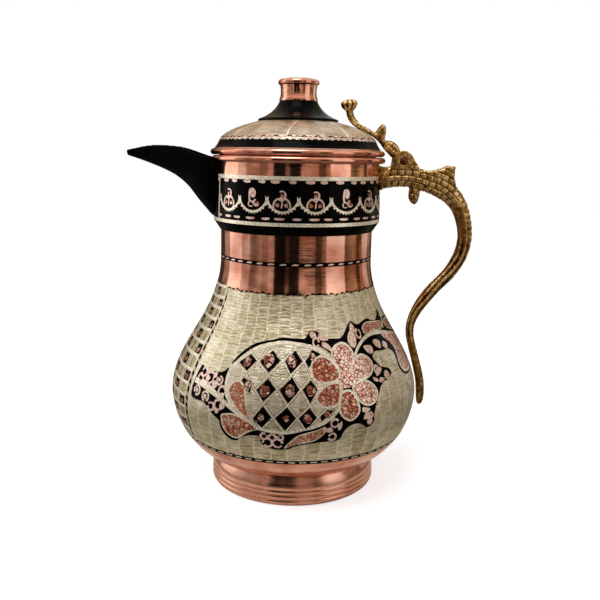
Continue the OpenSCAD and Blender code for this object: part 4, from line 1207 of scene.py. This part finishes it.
@dataclass
class CollarAndBeak:
    """Stepped collar with its rolled rim, its painted band and the beak that opens in it."""

    wall: float = 1.2
    rim: float = 1.85
    cream_low: tuple[float, float] = (166.2, 168.2)
    cream_high: tuple[float, float] = (191.5, 193.7)
    band_end: float = 27.0       # half of the plain black part beside the beak, degrees
    slot: tuple[float, float] = (19.0, 170.0)    # half of the width and lower end of the beak's opening
    # rows of dashes: height, mm; middle of the first, degrees; half width and height, mm
    dash_rows: tuple = ((190.5, -64.1, 2.35, 1.6), (170.3, -61.2, 2.7, 1.2))
    dashes: int = 30             # in a row
    dash_pitch: float = 10.3     # degrees
    peaks: tuple = (-60.5, -39, -18.6, 1.6, 22.4, 45.2, 67, 88.6, 110.2, 131.8, 153.4, 175, 196.6, 218.2,
        240.5)

    @staticmethod
    def inside(radius: float, height: float, outward: float, up: float) -> bool:
        """Tells whether a face lies inside the collar."""
        return radius < 49.6 and height > CORNER or outward < -0.3 and radius < 50.2

    def shell(self) -> bpy.types.Object:
        """Spins the collar and cuts the slot where the beak opens.

        Returns:
            The collar.
        """
        mid = (51.65, 202.65)
        line = with_heights([(47.5, COLLAR), (51.2, CORNER), (50.02, 201.7)],
            [self.cream_low[1], self.cream_high[0], self.cream_high[1], 198.0])
        roll = arc(mid, self.rim, -153, 153, 24)
        profile = [(46.95, COLLAR), *line, *roll, (50.0, 203.55), (48.8, 203.55), (50.0, CORNER + 0.4),
            (46.95, 162.2), (46.95, COLLAR)]
        piece = spin_profile(profile, 224, 32)
        bands = [(self.cream_low[0], 1), (self.cream_low[1], 2), (self.cream_high[0], 1),
            (self.cream_high[1], 2), (TOP, 0)]
        zone_slots(piece, [COPPER, LACQUER, LINE, LINING], bands, self.inside)
        half, low = self.slot
        bpy.ops.object.select_all(action="DESELECT")
        bpy.ops.mesh.primitive_cylinder_add(vertices=64, radius=half * MM, depth=0.024,
            location=(-0.0512, 0, (low + half) * MM), rotation=(0, math.pi / 2, 0))
        cutter = bpy.context.active_object
        bpy.ops.object.transform_apply(location=True, rotation=True, scale=True)
        for vertex in cutter.data.vertices:
            if vertex.co.z > (low + half) * MM:
                vertex.co.z += 0.06
        opening = piece.modifiers.new("opening", "BOOLEAN")
        opening.object, opening.solver = cutter, "EXACT"
        apply_all(piece)
        bpy.data.objects.remove(cutter)
        close_mesh(piece, 32)
        return settle(piece, "collar_and_rim", Body.POT, None, ("neck_collar",))

    def beak(self) -> bpy.types.Object:
        """Rounds and smooths the beak's sheet."""
        piece = cast_copy("beak", 0.45, 6)
        return settle(piece, "beak_sheet", Body.POT, SATIN_LACQUER, ("beak",))

    def swags(self) -> None:
        """Lays the scalloped swags, their florets and the dashed rows on the black band."""
        swag = Relief("collar_swags", COLLAR_SKIN, LINE, 0.16)
        flower = Relief("collar_florets", COLLAR_SKIN, CURL, 0.22)
        heart = Relief("collar_floret_hearts", COLLAR_SKIN, FINE_COPPER, 0.2)
        dash = Relief("collar_dashes", COLLAR_SKIN, CURL, 0.14)
        mm = math.radians(1) * COLLAR_SKIN.radius
        for i, (a, b) in enumerate(zip(self.peaks, self.peaks[1:])):
            swag.draw(self.scallops(a * mm, b * mm))
            self.floret(flower, heart, (a + b) / 2 * mm + 0.5 * math.sin(i * 2.2), i)
        for row, first, half, height in self.dash_rows:
            for i in range(self.dashes):
                x = (first + self.dash_pitch * i + 0.8 * math.sin(i * 2.1)) * mm
                w = half + 0.3 * math.sin(i * 2.9)
                dash.draw(smooth([(x - w - 0.2, row + 0.1 * height), (x - w * 0.5, row - height / 2),
                    (x + w * 0.6, row - height / 2), (x + w, row), (x + w * 0.7, row + height / 2),
                    (x - w * 0.6, row + height / 2)], parts=2))
        for side in (-1, 1):
            x = (-90 + side * self.band_end) * mm
            swag.draw(ribbon([(x, 166.8), (x, 180), (x, 192.5)], 1.3))
        for relief in (swag, flower, heart, dash):
            relief.build(Body.POT, "tinned_copper")

    @staticmethod
    def scallops(start: float, end: float) -> list[Point]:
        """Outline of one hanging swag with a toothed lower edge and a pointed peak.

        Args:
            start: Where it starts round the collar, mm.
            end: Where it ends, mm.

        Returns:
            The outline.
        """
        steps = 33
        line = []
        for i in range(steps + 1):
            t = i / steps
            sag = max(0.0, 1 - (2 * t - 1) ** 2) ** 0.72
            line.append((start + (end - start) * t, 180.9 - 6.9 * sag))
        top, bottom = [], []
        for i, (x, z) in enumerate(line):
            before, after = line[max(0, i - 1)], line[min(steps, i + 1)]
            run = math.hypot(after[0] - before[0], after[1] - before[1])
            nx, nz = (before[1] - after[1]) / run, (after[0] - before[0]) / run
            out = 0.6 + (0.85 if i % 3 == 1 else 0.0)
            top.append((x + 0.6 * nx, z + 0.6 * nz))
            bottom.append((x - out * nx, z - out * nz))
        crown = [(start - 1.0, 180.6), (start - 0.9, 182.9), (start, 181.5), (start + 0.9, 182.7),
            (start + 1.0, 180.6)]
        return crown + top[2:] + bottom[::-1]

    @staticmethod
    def floret(flower: Relief, heart: Relief, x: float, kind: int) -> None:
        """Draws one three-lobed floret; each was cut a little differently.

        Args:
            flower: Takes its lines.
            heart: Takes its hearts.
            x: Its middle round the collar, mm.
            kind: Number of the floret, which varies its shape.
        """
        big = 1.0 + 0.1 * math.sin(kind * 1.7)
        if kind % 3 == 1:
            flower.draw(smooth([(x - 2.9, 184.6), (x - 2.2, 186.6), (x, 186.9), (x + 1.5, 185.4),
                (x + 1.5, 183), (x + 0.2, 181.6), (x - 1.2, 182.2), (x - 1.9, 183.4), (x - 1.7, 180.8),
                (x - 2.4, 178.8), (x - 3.0, 181.5)], parts=3))
            flower.draw(curl((x - 1.5, 178.2), 1.5, 0.9, 20, 300), curl((x + 2.1, 178.9), 1.7, 0.9, 100, 240))
            heart.draw(rosette((x - 0.6, 184.4), 0.7, 3, kind), rosette((x + 2.5, 178.2), 1.5, 3, kind))
            return
        flower.draw(curl((x, 183.4), 2.2 * big, 1.2, 235, 250))
        for side in (-1, 1):
            flower.draw(ribbon([(x + side * 0.2, 180.4), (x + side * 2.2, 181.4), (x + side * 4.3, 179.4),
                (x + side * 4.7, 176.6), (x + side * 3.6, 175.6)], 1.15, 0.8))
            heart.draw(rosette((x + side * 2.5, 177.9), 1.35 * big, 3, kind + side, 0.25))
        flower.draw(ribbon([(x, 182.2), (x + 0.2, 179.5), (x - 0.1, 176.3)], 1.0, 0.7))
        heart.draw(rosette((x, 183.2), 1.15 * big, 3, kind, 0.25))

    def build(self) -> None:
        """Builds the collar, the beak and the painted band."""
        self.shell()
        self.beak()
        self.swags()


@dataclass
class Lid:
    """Hinged lid: rolled flange, black band, engraved dome, black cone and copper knob."""

    edge: float = 1.8
    wall: float = 1.0
    black: tuple[float, float] = (208.9, 213.8)
    rays: int = 8
    cuts: int = 76               # marks round the dome's foot, chiselled cuts and painted shadows by turns, and round the band
    ring: tuple[float, float] = (0.15, 2.3)      # lower and upper edge of the pink ring, mm along the dome

    @staticmethod
    def inside(radius: float, height: float, outward: float, up: float) -> bool:
        """Tells whether a face lies under the lid."""
        return up < -0.2 and radius < 50.2

    def shell(self) -> bpy.types.Object:
        """Spins the lid and gives each band its finish.

        Returns:
            The lid's shell.
        """
        mid = (51.2, 206.6)
        band = with_heights(bezier(LID_BAND, 12)[::-1], self.black)
        dome = bezier(LID_DOME, 24)[::-1]
        outer = arc(mid, self.edge, -215, 88, 24) + band[1:] + dome[1:] + [(24.1, SEAT), (0, SEAT)]
        under = [(0, SEAT - self.wall), (23.9, SEAT - self.wall)] + offset_line(bezier(LID_DOME, 24),
            -self.wall) + offset_line(bezier(LID_BAND, 12)[1:-2], -self.wall)
        piece = spin_profile(outer + under + [outer[0]], 224, 34)
        bands = [(self.black[0], 0), (self.black[1], 1), (TOP, 2)]
        zone_slots(piece, [COPPER, LACQUER, DOME, LINING], bands, self.inside)
        return settle(piece, "lid_shell_turned", Body.LID, None, ("lid_shell",))

    def cone_and_knob(self) -> None:
        """Spins the black cone and the copper knob."""
        curve = bezier(((23.4, 226.6), (17.95, 228.48), (13.63, 231.96), (11.6, KNOB)), 24)
        inner = offset_line(curve, 0.9)
        cone = [(22.5, SEAT), (24.1, SEAT), (24.3, 225.2), (24.3, 226.0), (24.0, 226.3), *curve, (2.75, KNOB),
            (2.75, KNOB - 0.9), *inner[::-1], (22.5, SEAT)]
        settle(spin_profile(cone, 160, 30), "knob_cone_turned", Body.LID, LACQUER,
            ("knob_cone",))
        neck = bezier(((11.6, 238), (10.5, 240.62), (10.7, 243.3), (11.2, 245.98)), 14)
        bead = arc((12.4 - 1.876, TOP - 1.876 - 0.5), 1.876, -42, 90, 12)
        knob = [(2.6, KNOB), (11.3, KNOB), (11.6, 237.0), *neck, *bead, (9.4, TOP - 0.35), (8.3, TOP),
            (0, TOP), (0, 245.3), (2.6, 245.3), (2.6, KNOB)]
        settle(spin_profile(knob, 128, 30), "knob_cap_turned", Body.LID, COPPER, ("knob_cap",))

    def engraving(self) -> None:
        """Lays the curved rays on the dome and the ring at its foot: chiselled cuts between painted shadows.
        """
        rays = Relief("lid_rays", LID_SKIN, LINE, 0.1, root=0.05)
        for i in range(self.rays):
            x = TURN * LID_SKIN.radius * (i - 0.1) / self.rays
            wide = 1.3 if i % 3 else 0.8
            rays.draw(ribbon([(x - 1.9, 2.2), (x - 1.2, 9), (x + 0.6, 17), (x + 2.4, 24)], wide, 1.2 * wide))
        rays.build(Body.LID, "tinned_copper")
        strip = Relief("lid_ring_strip", LID_SKIN, CURL, 0.06, root=0.05)
        end = math.pi * LID_SKIN.radius
        low, high = self.ring
        strip.draw([(-end, low), (end, low), (end, high), (-end, high)])
        strip.build(Body.LID, "tinned_copper")
        # painted shadow: every other mark on the ring is black lacquer standing in for shade between the cuts
        marks = (("lid_ring_cuts", PETAL, "copper"), ("lid_ring_shadows", LACQUER, "black_lacquer"))
        for start, (name, finish, slot) in enumerate(marks):
            ring = Relief(name, LID_SKIN, finish, 0.11, root=0.05)
            for i, x in ring.steps(self.cuts)[start::2]:
                sway = 0.4 * math.sin(i * 2.7)
                ring.draw(ribbon([(x - 1.5, 1.0 + sway), (x, 1.9 + sway), (x + 1.5, 1.1 - sway)], 0.85, 0.4))
            ring.build(Body.LID, slot)
        edging = Relief("lid_band_edging", LID_BAND_SKIN, LINE, 0.1, root=0.05)
        for i, x in edging.steps(self.cuts):
            edging.draw(block(x, 213.6, 2.2 + math.sin(i * 1.9), 0.35, 0.2 * math.sin(i * 3.1)))
        edging.build(Body.LID, "tinned_copper")

    def build(self) -> None:
        """Builds the lid's turned pieces and its engraving."""
        self.shell()
        self.cone_and_knob()
        self.engraving()


# ------------------------------------------------------------------ castings


def cast_copy(node: str, voxel: float, rounds: int) -> bpy.types.Object:
    """Copies a CAD node's mesh and softens its edges as sand casting or hammering does.

    Args:
        node: The CAD node.
        voxel: Size of the remeshing grid, mm.
        rounds: Number of smoothing rounds.

    Returns:
        The softened copy.
    """
    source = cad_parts[node]
    piece = bpy.data.objects.new(node + "_copy", source.data.copy())
    bpy.context.scene.collection.objects.link(piece)
    edit_mesh(piece)
    bpy.ops.mesh.select_all(action="SELECT")
    bpy.ops.mesh.remove_doubles(threshold=0.000002)
    bpy.ops.object.mode_set(mode="OBJECT")
    remesh = piece.modifiers.new("remesh", "REMESH")
    remesh.mode, remesh.voxel_size = "VOXEL", voxel * MM
    soften = piece.modifiers.new("soften", "SMOOTH")
    soften.factor, soften.iterations = 0.5, rounds
    apply_all(piece)
    bpy.ops.object.shade_smooth()
    return piece


def read_vertices(piece: bpy.types.Object, what: str) -> np.ndarray:
    """Reads one row of three numbers for each vertex.

    Args:
        piece: The mesh object.
        what: "co" for the places, "normal" for the normals.

    Returns:
        The rows.
    """
    rows = np.zeros(len(piece.data.vertices) * 3)
    piece.data.vertices.foreach_get(what, rows)
    return rows.reshape(-1, 3)


def ramp(values: np.ndarray, width: float) -> np.ndarray:
    """Returns 0 below zero, 1 above width, and a slope between."""
    return np.clip(values / width, 0, 1)


def push_out(piece: bpy.types.Object, height: np.ndarray, relief: np.ndarray) -> None:
    """Moves each vertex along its normal and stores how high it stands as the relief attribute.

    Args:
        piece: The casting.
        height: Distance for each vertex, mm.
        relief: 0 in the recesses to 1 on the high points.
    """
    moved = read_vertices(piece, "co") + read_vertices(piece, "normal") * height[:, None] * MM
    piece.data.vertices.foreach_set("co", moved.ravel())
    store = piece.data.attributes.new("relief", "FLOAT", "POINT")
    store.data.foreach_set("value", relief.astype(np.float32))
    piece.data.update()


def bricks(along: np.ndarray, across: np.ndarray, length: float, height: float) -> np.ndarray:
    """Height, 0 to 1, of rows of small raised blocks that lap over each other like scales.

    Args:
        along: Distance along the casting, mm.
        across: Distance across it, mm.
        length: Pitch of the blocks along a row, mm.
        height: Pitch of the rows, mm.

    Returns:
        0 in the grooves, rising towards the end of each block.
    """
    row = np.floor(across / height)
    place = along / length + 0.5 * np.mod(row, 2) + 0.12 * np.sin(row * 2.3)
    share, rise = place - np.floor(place), across / height - row
    edge = np.minimum(np.minimum(share, 1 - share) * length, np.minimum(rise, 1 - rise) * height)
    chance = np.mod(np.sin(row * 12.9 + np.floor(place) * 78.2) * 437.5, 1.0)
    return ramp(edge, 0.5) * (0.5 + 0.3 * share + 0.2 * chance)


@dataclass
class Handle:
    """Cast brass handle: hinge ears, scaled bar, head block and a long curved grip."""

    hinge: Point = HINGE
    rows: tuple = ((52.2, 192.5), (60.3, 193.4), (70.3, 193.2), (79.3, 190.8), (88.3, 187.5), (96.3, 181.5),
        (102.1, 172.4), (105.3, 158.4), (103.3, 145.9), (96.8, 133.9), (87.8, 124.4), (80.2, 114.4),
        (75.1, 104.4), (73.7, 95.9), (75.3, 87.4), (78.8, 75.4), (81.8, 63.4), (82.5, 54.4), (82.3, 48.9))
    block: tuple[float, float] = (4.4, 3.4)      # length and height of one scale, mm
    scaled: float = 56.0         # length of the scaled part along the casting, mm
    bar: float = 54.5            # where the scales start, mm from the pot's axis
    ear: float = 8.2             # radius of the hinge ears, mm
    head: float = 2.6            # radius round the hinge that stays smooth for the pin's head, mm
    nick: float = 3.4            # pitch of the nicks, mm
    flutes: int = 8

    def build(self) -> None:
        """Softens the casting and cuts its scales, nicks and flutes."""
        piece = cast_copy("handle", 0.42, 3)
        points = read_vertices(piece, "co") / MM
        x, y, z = points.T
        path = np.array(smooth(self.rows, closed=False, parts=14))
        steps = np.linalg.norm(np.diff(path, axis=0), axis=1)
        run = np.concatenate([[0], np.cumsum(steps)])
        way = np.gradient(path, axis=0)
        way /= np.linalg.norm(way, axis=1)[:, None]
        near = np.argmin(((points[:, None, (0, 2)] - path[None]) ** 2).sum(2), axis=1)
        away = points[:, (0, 2)] - path[near]
        side = away[:, 0] * -way[near, 1] + away[:, 1] * way[near, 0]
        along = run[near] + (away * way[near]).sum(1)
        angle = np.arctan2(y, side)
        total = run[-1]
        grain = np.sin(x * 1.9 + 2 * np.sin(z * 1.3)) * np.sin(y * 2.1)
        # rows of scales on the bar and the head block, laid out on the sides, the top and the underside
        flank = np.abs(read_vertices(piece, "normal")[:, 1]) > 0.5
        scale = bricks(along, np.where(flank, side, y) + 40.0, *self.block)
        on_scales = ramp(x - self.bar, 1.5) * ramp(self.scaled - along, 8)
        # hinge ears: a rounded rim round the pin's head
        off = np.hypot(x - self.hinge[0], z - self.hinge[1])
        on_ear = ramp(self.ear - off, 1.2) * ramp(z - 196.5, 2)
        ear = ramp(self.ear - 0.2 - off, 4.5)
        # the grip: slanting nicks that run out into long flutes
        on_grip = ramp(along - self.scaled + 6, 8) * ramp(total - 6 - along, 20)
        nick = np.clip(np.sin(TURN * (along / self.nick + np.abs(angle) * 0.5)) * 2, -1, 1)
        nick *= ramp(self.scaled + 30 - along, 18) * np.clip(np.cos(angle), 0, 1)
        fade = np.clip((along - self.scaled - 14) / 16, 0.2, 1) * np.clip((total - 34 - along) / 25, 0.12, 1)
        flute = np.clip(np.cos(angle * self.flutes + np.sin(along / 5.0) * 0.8) * 1.6, -1, 1) * fade
        grip = np.clip(0.45 + 0.3 * nick + 0.42 * flute, 0, 1)
        plain = (1 - on_scales) * (1 - on_ear) * (1 - on_grip)
        on_scales = on_scales * (1 - on_ear)
        # the relief colours the brass: painted shade in the grooves, a painted highlight on the scales'
        # raised ends
        relief = on_scales * scale + on_ear * (0.3 + 0.35 * ear + 0.25 * grain)
        relief += on_grip * (1 - on_ear) * grip
        relief = np.clip(relief + plain * (0.45 + 0.2 * grain), 0, 1)
        height = on_scales * (scale - 0.7) * 0.75 + on_ear * ((ear - 0.5) * 0.4 + 0.12 * grain)
        height += on_grip * (1 - on_scales) * (1 - on_ear) * (grip - 0.6) * 0.6
        height[off < self.head] = 0
        push_out(piece, height, relief)
        settle(piece, "handle_casting", Body.POT, BRASS, ("handle",))


@dataclass
class Lever:
    """Cast thumb lever that carries the lid, with a flower bud at its end."""

    bud: tuple[float, float] = (30.6, 235.2)
    petals: int = 8

    def build(self) -> None:
        """Softens the casting, cuts the bud's petals and grooves the arm."""
        piece = cast_copy("lid_lever", 0.35, 4)
        points = read_vertices(piece, "co") / MM
        x, y, z = points.T
        dx, dz = x - self.bud[0], z - self.bud[1]
        radius = np.hypot(dx, y)
        angle = np.arctan2(y, dx)
        on_bud = ramp(dz + 3.2, 1.5) * (radius < 6.5) * ramp(radius, 2.2)
        petal = np.abs(np.cos(angle * self.petals / 2))
        groove = 0.5 + 0.5 * np.cos(y * 2.4)
        pits = 0.5 + 0.5 * np.sin((x - z) * 2.1 + 1.5 * np.sin(y * 1.1)) * np.cos(y)
        height = on_bud * (petal - 0.6) * 0.8 + (1 - on_bud) * ((groove - 0.5) * 0.2 + (pits - 0.5) * 0.16)
        # the relief colours the brass: painted shade between the petals and in the grooves, a painted
        # highlight on the high points
        relief = on_bud * petal + (1 - on_bud) * (0.15 + 0.4 * groove + 0.3 * pits)
        push_out(piece, height, relief)
        settle(piece, "thumb_lever_casting", Body.LID, BRASS, ("lid_lever",))


@dataclass
class Fittings:
    """Small fasteners and hidden rings that keep their CAD shape and get their own finish."""

    finishes: tuple = (("rim_wire", WIRE), ("lid_wire", WIRE), ("lid_ring", LINING), ("hinge_pin", PIN),
        ("handle_rivets", RIVET_COPPER), ("handle_burrs", RIVET_COPPER), ("lever_rivets", PIN),
        ("lever_burrs", PIN), ("knob_stud", STEEL), ("knob_washer", STEEL), ("knob_nut", STEEL))

    def build(self) -> None:
        """Dresses each fitting."""
        for name, finish in self.finishes:
            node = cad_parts[name]
            node.data.materials.clear()
            node.data.materials.append(finish.make())
            log.info("%s: dressed in %s", name, finish.name)


# ------------------------------------------------------------------ studio


@dataclass
class Studio:
    """Pale floor, soft lamps, a ring of tall cards that only the metal's reflections see, and the camera."""

    white: float = 1.0
    fill: float = 0.46
    drop: float = 0.0004         # the floor's depth below the pot's foot, m
    away: float = 0.42           # distance of the cards from the pot's axis, m
    tall: float = 0.62           # height of the cards, m
    eye: tuple = (0.003037, -0.43663, 0.204295)  # place of the camera, m
    tilt: float = 0.20213        # how far it looks down, radians
    roll: float = 0.018476       # radians
    lens: float = 41.937
    # cards: middle angle, width in degrees, brightness at their top, share of it at their foot, mottling
    cards: tuple = ((-141, 20, 0.08, 0.6, 0.3), (-121.5, 19, 0.42, 0.6, 0.5), (-97.5, 29, 1.5, 0.62, 0.15),
        (-75.5, 15, 0.62, 0.8, 0.5), (-63, 10, 0.36, 0.6, 0.6), (-53, 10, 0.5, 0.6, 0.6),
        (-43, 10, 0.3, 0.6, 0.7), (-34, 8, 0.5, 0.7, 0.5), (-22, 16, 0.012, 0.6, 0.5),
        (-11.5, 5, 0.14, 0.3, 0.8), (-2, 14, 0.02, 0.9, 0.8), (7.5, 5, 0.4, 0.4, 0.9),
        (18.5, 17, 0.4, 0.8, 1.0), (32, 10, 0.13, 0.5, 0.95), (40, 6, 0.4, 0.5, 0.9), (58, 30, 1.1, 0.6, 0.0),
        (81, 16, 0.26, 0.7, 0.7), (93, 8, 0.4, 0.6, 0.5), (101.5, 9, 0.09, 0.9, 0.8),
        (118, 24, 0.75, 0.75, 0.1), (137, 15, 0.3, 0.7, 0.4), (152, 15, 0.08, 0.7, 0.5),
        (172, 25, 0.7, 0.7, 0.1), (197, 25, 0.2, 0.7, 0.7))

    def backdrop(self) -> None:
        """Makes the world white where it is seen or mirrored, and softer where it lights."""
        world = bpy.data.worlds.new("studio")
        bpy.context.scene.world = world
        tree = clear_tree(world)
        path = add_node(tree, "LightPath")
        seen = add_node(tree, "Math", {0: path.outputs["Is Camera Ray"], 1: path.outputs["Is Glossy Ray"]},
            operation="MAXIMUM")
        shown = add_node(tree, "Math", {0: seen, 1: path.outputs["Is Transmission Ray"]}, operation="MAXIMUM")
        level = add_node(tree, "MapRange", {"Value": shown, "To Min": self.fill, "To Max": self.white})
        tint = add_node(tree, "Mix", {0: shown, 6: (1, 0.92, 0.78, 1), 7: (1, 1, 1, 1)}, data_type="RGBA")
        sky = add_node(tree, "Background", {"Color": tint, "Strength": level})
        add_node(tree, "OutputWorld", {"Surface": sky})

    def floor(self) -> None:
        """Lays a white floor that keeps the pot's shadow."""
        bpy.ops.mesh.primitive_plane_add(size=60, location=(0, 0, -self.drop))
        floor = bpy.context.active_object
        floor.name = "floor"
        material = bpy.data.materials.new("white_floor")
        tree = clear_tree(material)
        path = add_node(tree, "LightPath")
        matt = add_node(tree, "BsdfDiffuse", {"Color": (0.86, 0.86, 0.86, 1)})
        glow = add_node(tree, "Emission", {"Color": (0.9, 0.94, 1, 1), "Strength": 0.68})
        lit = add_node(tree, "AddShader", {0: matt, 1: glow})
        mix = add_node(tree, "MixShader", {0: path.outputs["Is Camera Ray"], 1: matt, 2: lit})
        add_node(tree, "OutputMaterial", {"Surface": mix})
        floor.data.materials.append(material)

    def lamp(self, name: str, angle: float, away: float, height: float, size: Point, power: float,
             colour: str) -> None:
        """Hangs a soft lamp that faces the pot.

        Args:
            name: The lamp's name.
            angle: Its direction from the front, degrees.
            away: Its distance from the pot's axis, m.
            height: Its height, m.
            size: Its width and height, m.
            power: Its power, W.
            colour: Its colour, sRGB hex.
        """
        light = bpy.data.lights.new(name, "AREA")
        light.shape, light.size, light.size_y = "RECTANGLE", size[0], size[1]
        light.energy, light.color = power, srgb(colour)[:3]
        lamp = bpy.data.objects.new(name, light)
        bpy.context.scene.collection.objects.link(lamp)
        a = math.radians(angle)
        lamp.location = (away * math.sin(a), -away * math.cos(a), height)
        lamp.rotation_euler = (Vector((0, 0, 0.12)) - lamp.location).to_track_quat("-Z", "Y").to_euler()
        lamp.visible_camera = False

    @staticmethod
    def mirror_only(piece: bpy.types.Object, material: bpy.types.Material,
                    colour: tuple[float, float, float, float], strength: bpy.types.Node) -> None:
        """Makes a piece glow where metal mirrors it, and hides it from everything else.

        Args:
            piece: The card or ring.
            material: Its material, which holds the strength's nodes.
            colour: Linear colour of the glow.
            strength: Node that gives the glow's strength.
        """
        glow = add_node(material.node_tree, "Emission", {"Color": colour, "Strength": strength})
        add_node(material.node_tree, "OutputMaterial", {"Surface": glow})
        piece.data.materials.append(material)
        for ray in ("camera", "diffuse", "shadow", "transmission"):
            setattr(piece, "visible_" + ray, False)

    def card(self, index: int, angle: float, width: float, shade: float, foot: float, mottle: float) -> None:
        """Stands a card near the pot, which only the metal's reflections see.

        Args:
            index: Number of the card.
            angle: Direction of its middle from the front, degrees.
            width: Width as seen from the pot's axis, degrees.
            shade: Brightness at its top.
            foot: Share of that brightness at its foot.
            mottle: How cloudy it is, 0 to 1.
        """
        wide = 2 * self.away * math.tan(math.radians(width) / 2)
        a = math.radians(angle)
        place = (self.away * math.sin(a), -self.away * math.cos(a), self.tall / 2)
        bpy.ops.object.select_all(action="DESELECT")
        bpy.ops.mesh.primitive_plane_add(size=1, location=place, rotation=(math.pi / 2, 0, a))
        card = bpy.context.active_object
        card.name = f"card_{index}"
        card.scale = (wide, self.tall, 1)
        bpy.ops.object.transform_apply(location=True, rotation=True, scale=True)
        material = bpy.data.materials.new(card.name)
        tree = clear_tree(material)
        where = add_node(tree, "TexCoord")
        parts = add_node(tree, "SeparateXYZ", {0: where.outputs["Object"]})
        rise = add_node(tree, "MapRange", {"Value": parts.outputs[2], "From Min": 0.07, "From Max": 0.2,
            "To Min": shade * foot, "To Max": shade})
        level = add_node(tree, "VectorMath", {0: where.outputs["Object"], 1: (6, 6, 55)},
            operation="MULTIPLY")
        cloud = add_node(tree, "TexNoise", {"Vector": level, "Scale": 1.0, "Detail": 2.0})
        spread = add_node(tree, "MapRange", {"Value": cloud, "From Min": 0.4, "From Max": 0.6,
            "To Min": 1 - mottle, "To Max": 1 + mottle})
        low_part = add_node(tree, "Math", {0: rise, 1: spread}, operation="MULTIPLY")
        ceiling = add_node(tree, "MapRange", {"Value": parts.outputs[2], "From Min": 0.3, "From Max": 0.5,
            "To Max": 0.85})
        strength = add_node(tree, "Math", {0: low_part, 1: ceiling}, operation="MAXIMUM")
        warm = (1, 0.97, 0.94, 1) if shade > 0.55 else (1, 0.74, 0.46, 1) if angle > 25 else (1, 0.8, 0.68, 1)
        self.mirror_only(card, material, warm, strength)

    def table(self) -> None:
        """Lays a dim ring on the floor round the pot, which only the metal's reflections see."""
        bpy.ops.object.select_all(action="DESELECT")
        bpy.ops.mesh.primitive_circle_add(vertices=96, radius=0.056, fill_type="NOTHING")
        ring = bpy.context.active_object
        ring.name = "table_ring"
        edit_mesh(ring)
        bpy.ops.mesh.select_all(action="SELECT")
        bpy.ops.mesh.extrude_region_move()
        bpy.ops.transform.resize(value=(10, 10, 1))
        bpy.ops.object.mode_set(mode="OBJECT")
        material = bpy.data.materials.new("dim_table")
        tree = clear_tree(material)
        where = add_node(tree, "TexCoord")
        away = add_node(tree, "VectorMath", {0: where.outputs["Object"]}, operation="LENGTH")
        level = add_node(tree, "MapRange", {"Value": away, "From Min": 0.06, "From Max": 0.13, "To Min": 0.6,
            "To Max": 0.2})
        self.mirror_only(ring, material, (1, 0.86, 0.72, 1), level)

    def camera(self) -> None:
        """Places the camera a little above the pot's collar, looking slightly down."""
        data = bpy.data.cameras.new("camera")
        data.lens, data.sensor_width, data.clip_start = self.lens, 36, 0.01
        camera = bpy.data.objects.new("camera", data)
        bpy.context.scene.collection.objects.link(camera)
        tilt = Matrix.Rotation(math.pi / 2 - self.tilt, 4, "X")
        camera.matrix_world = Matrix.Translation(self.eye) @ tilt @ Matrix.Rotation(self.roll, 4, "Z")
        bpy.context.scene.camera = camera

    def build(self) -> None:
        """Sets up the studio."""
        bpy.context.scene.view_settings.view_transform = "Standard"
        self.backdrop()
        self.floor()
        self.lamp("left_softbox", -84, 1.1, 0.5, (0.5, 0.9), 4.6, "#FFFBF4")
        self.lamp("right_panel", 70, 1.25, 0.35, (0.4, 0.7), 0.55, "#FFB870")
        self.table()
        self.lamp("top_softbox", -20, 0.45, 1.2, (0.6, 0.6), 4.4, "#FFFFFF")
        for index, card in enumerate(self.cards):
            self.card(index, *card)
        self.camera()


def main() -> None:
    """Builds the coffee pot and its studio, one part after the other."""
    logging.basicConfig(level=logging.INFO, format="%(message)s")
    bpy.ops.object.select_all(action="DESELECT")
    for part in (PotBody, BellyOrnament, LadderBand, CollarAndBeak, Lid, Handle, Lever, Fittings, Studio):
        log.info("building %s", part.__name__)
        part().build()
    bpy.ops.object.select_all(action="DESELECT")


if __name__ == "__main__":
    main()
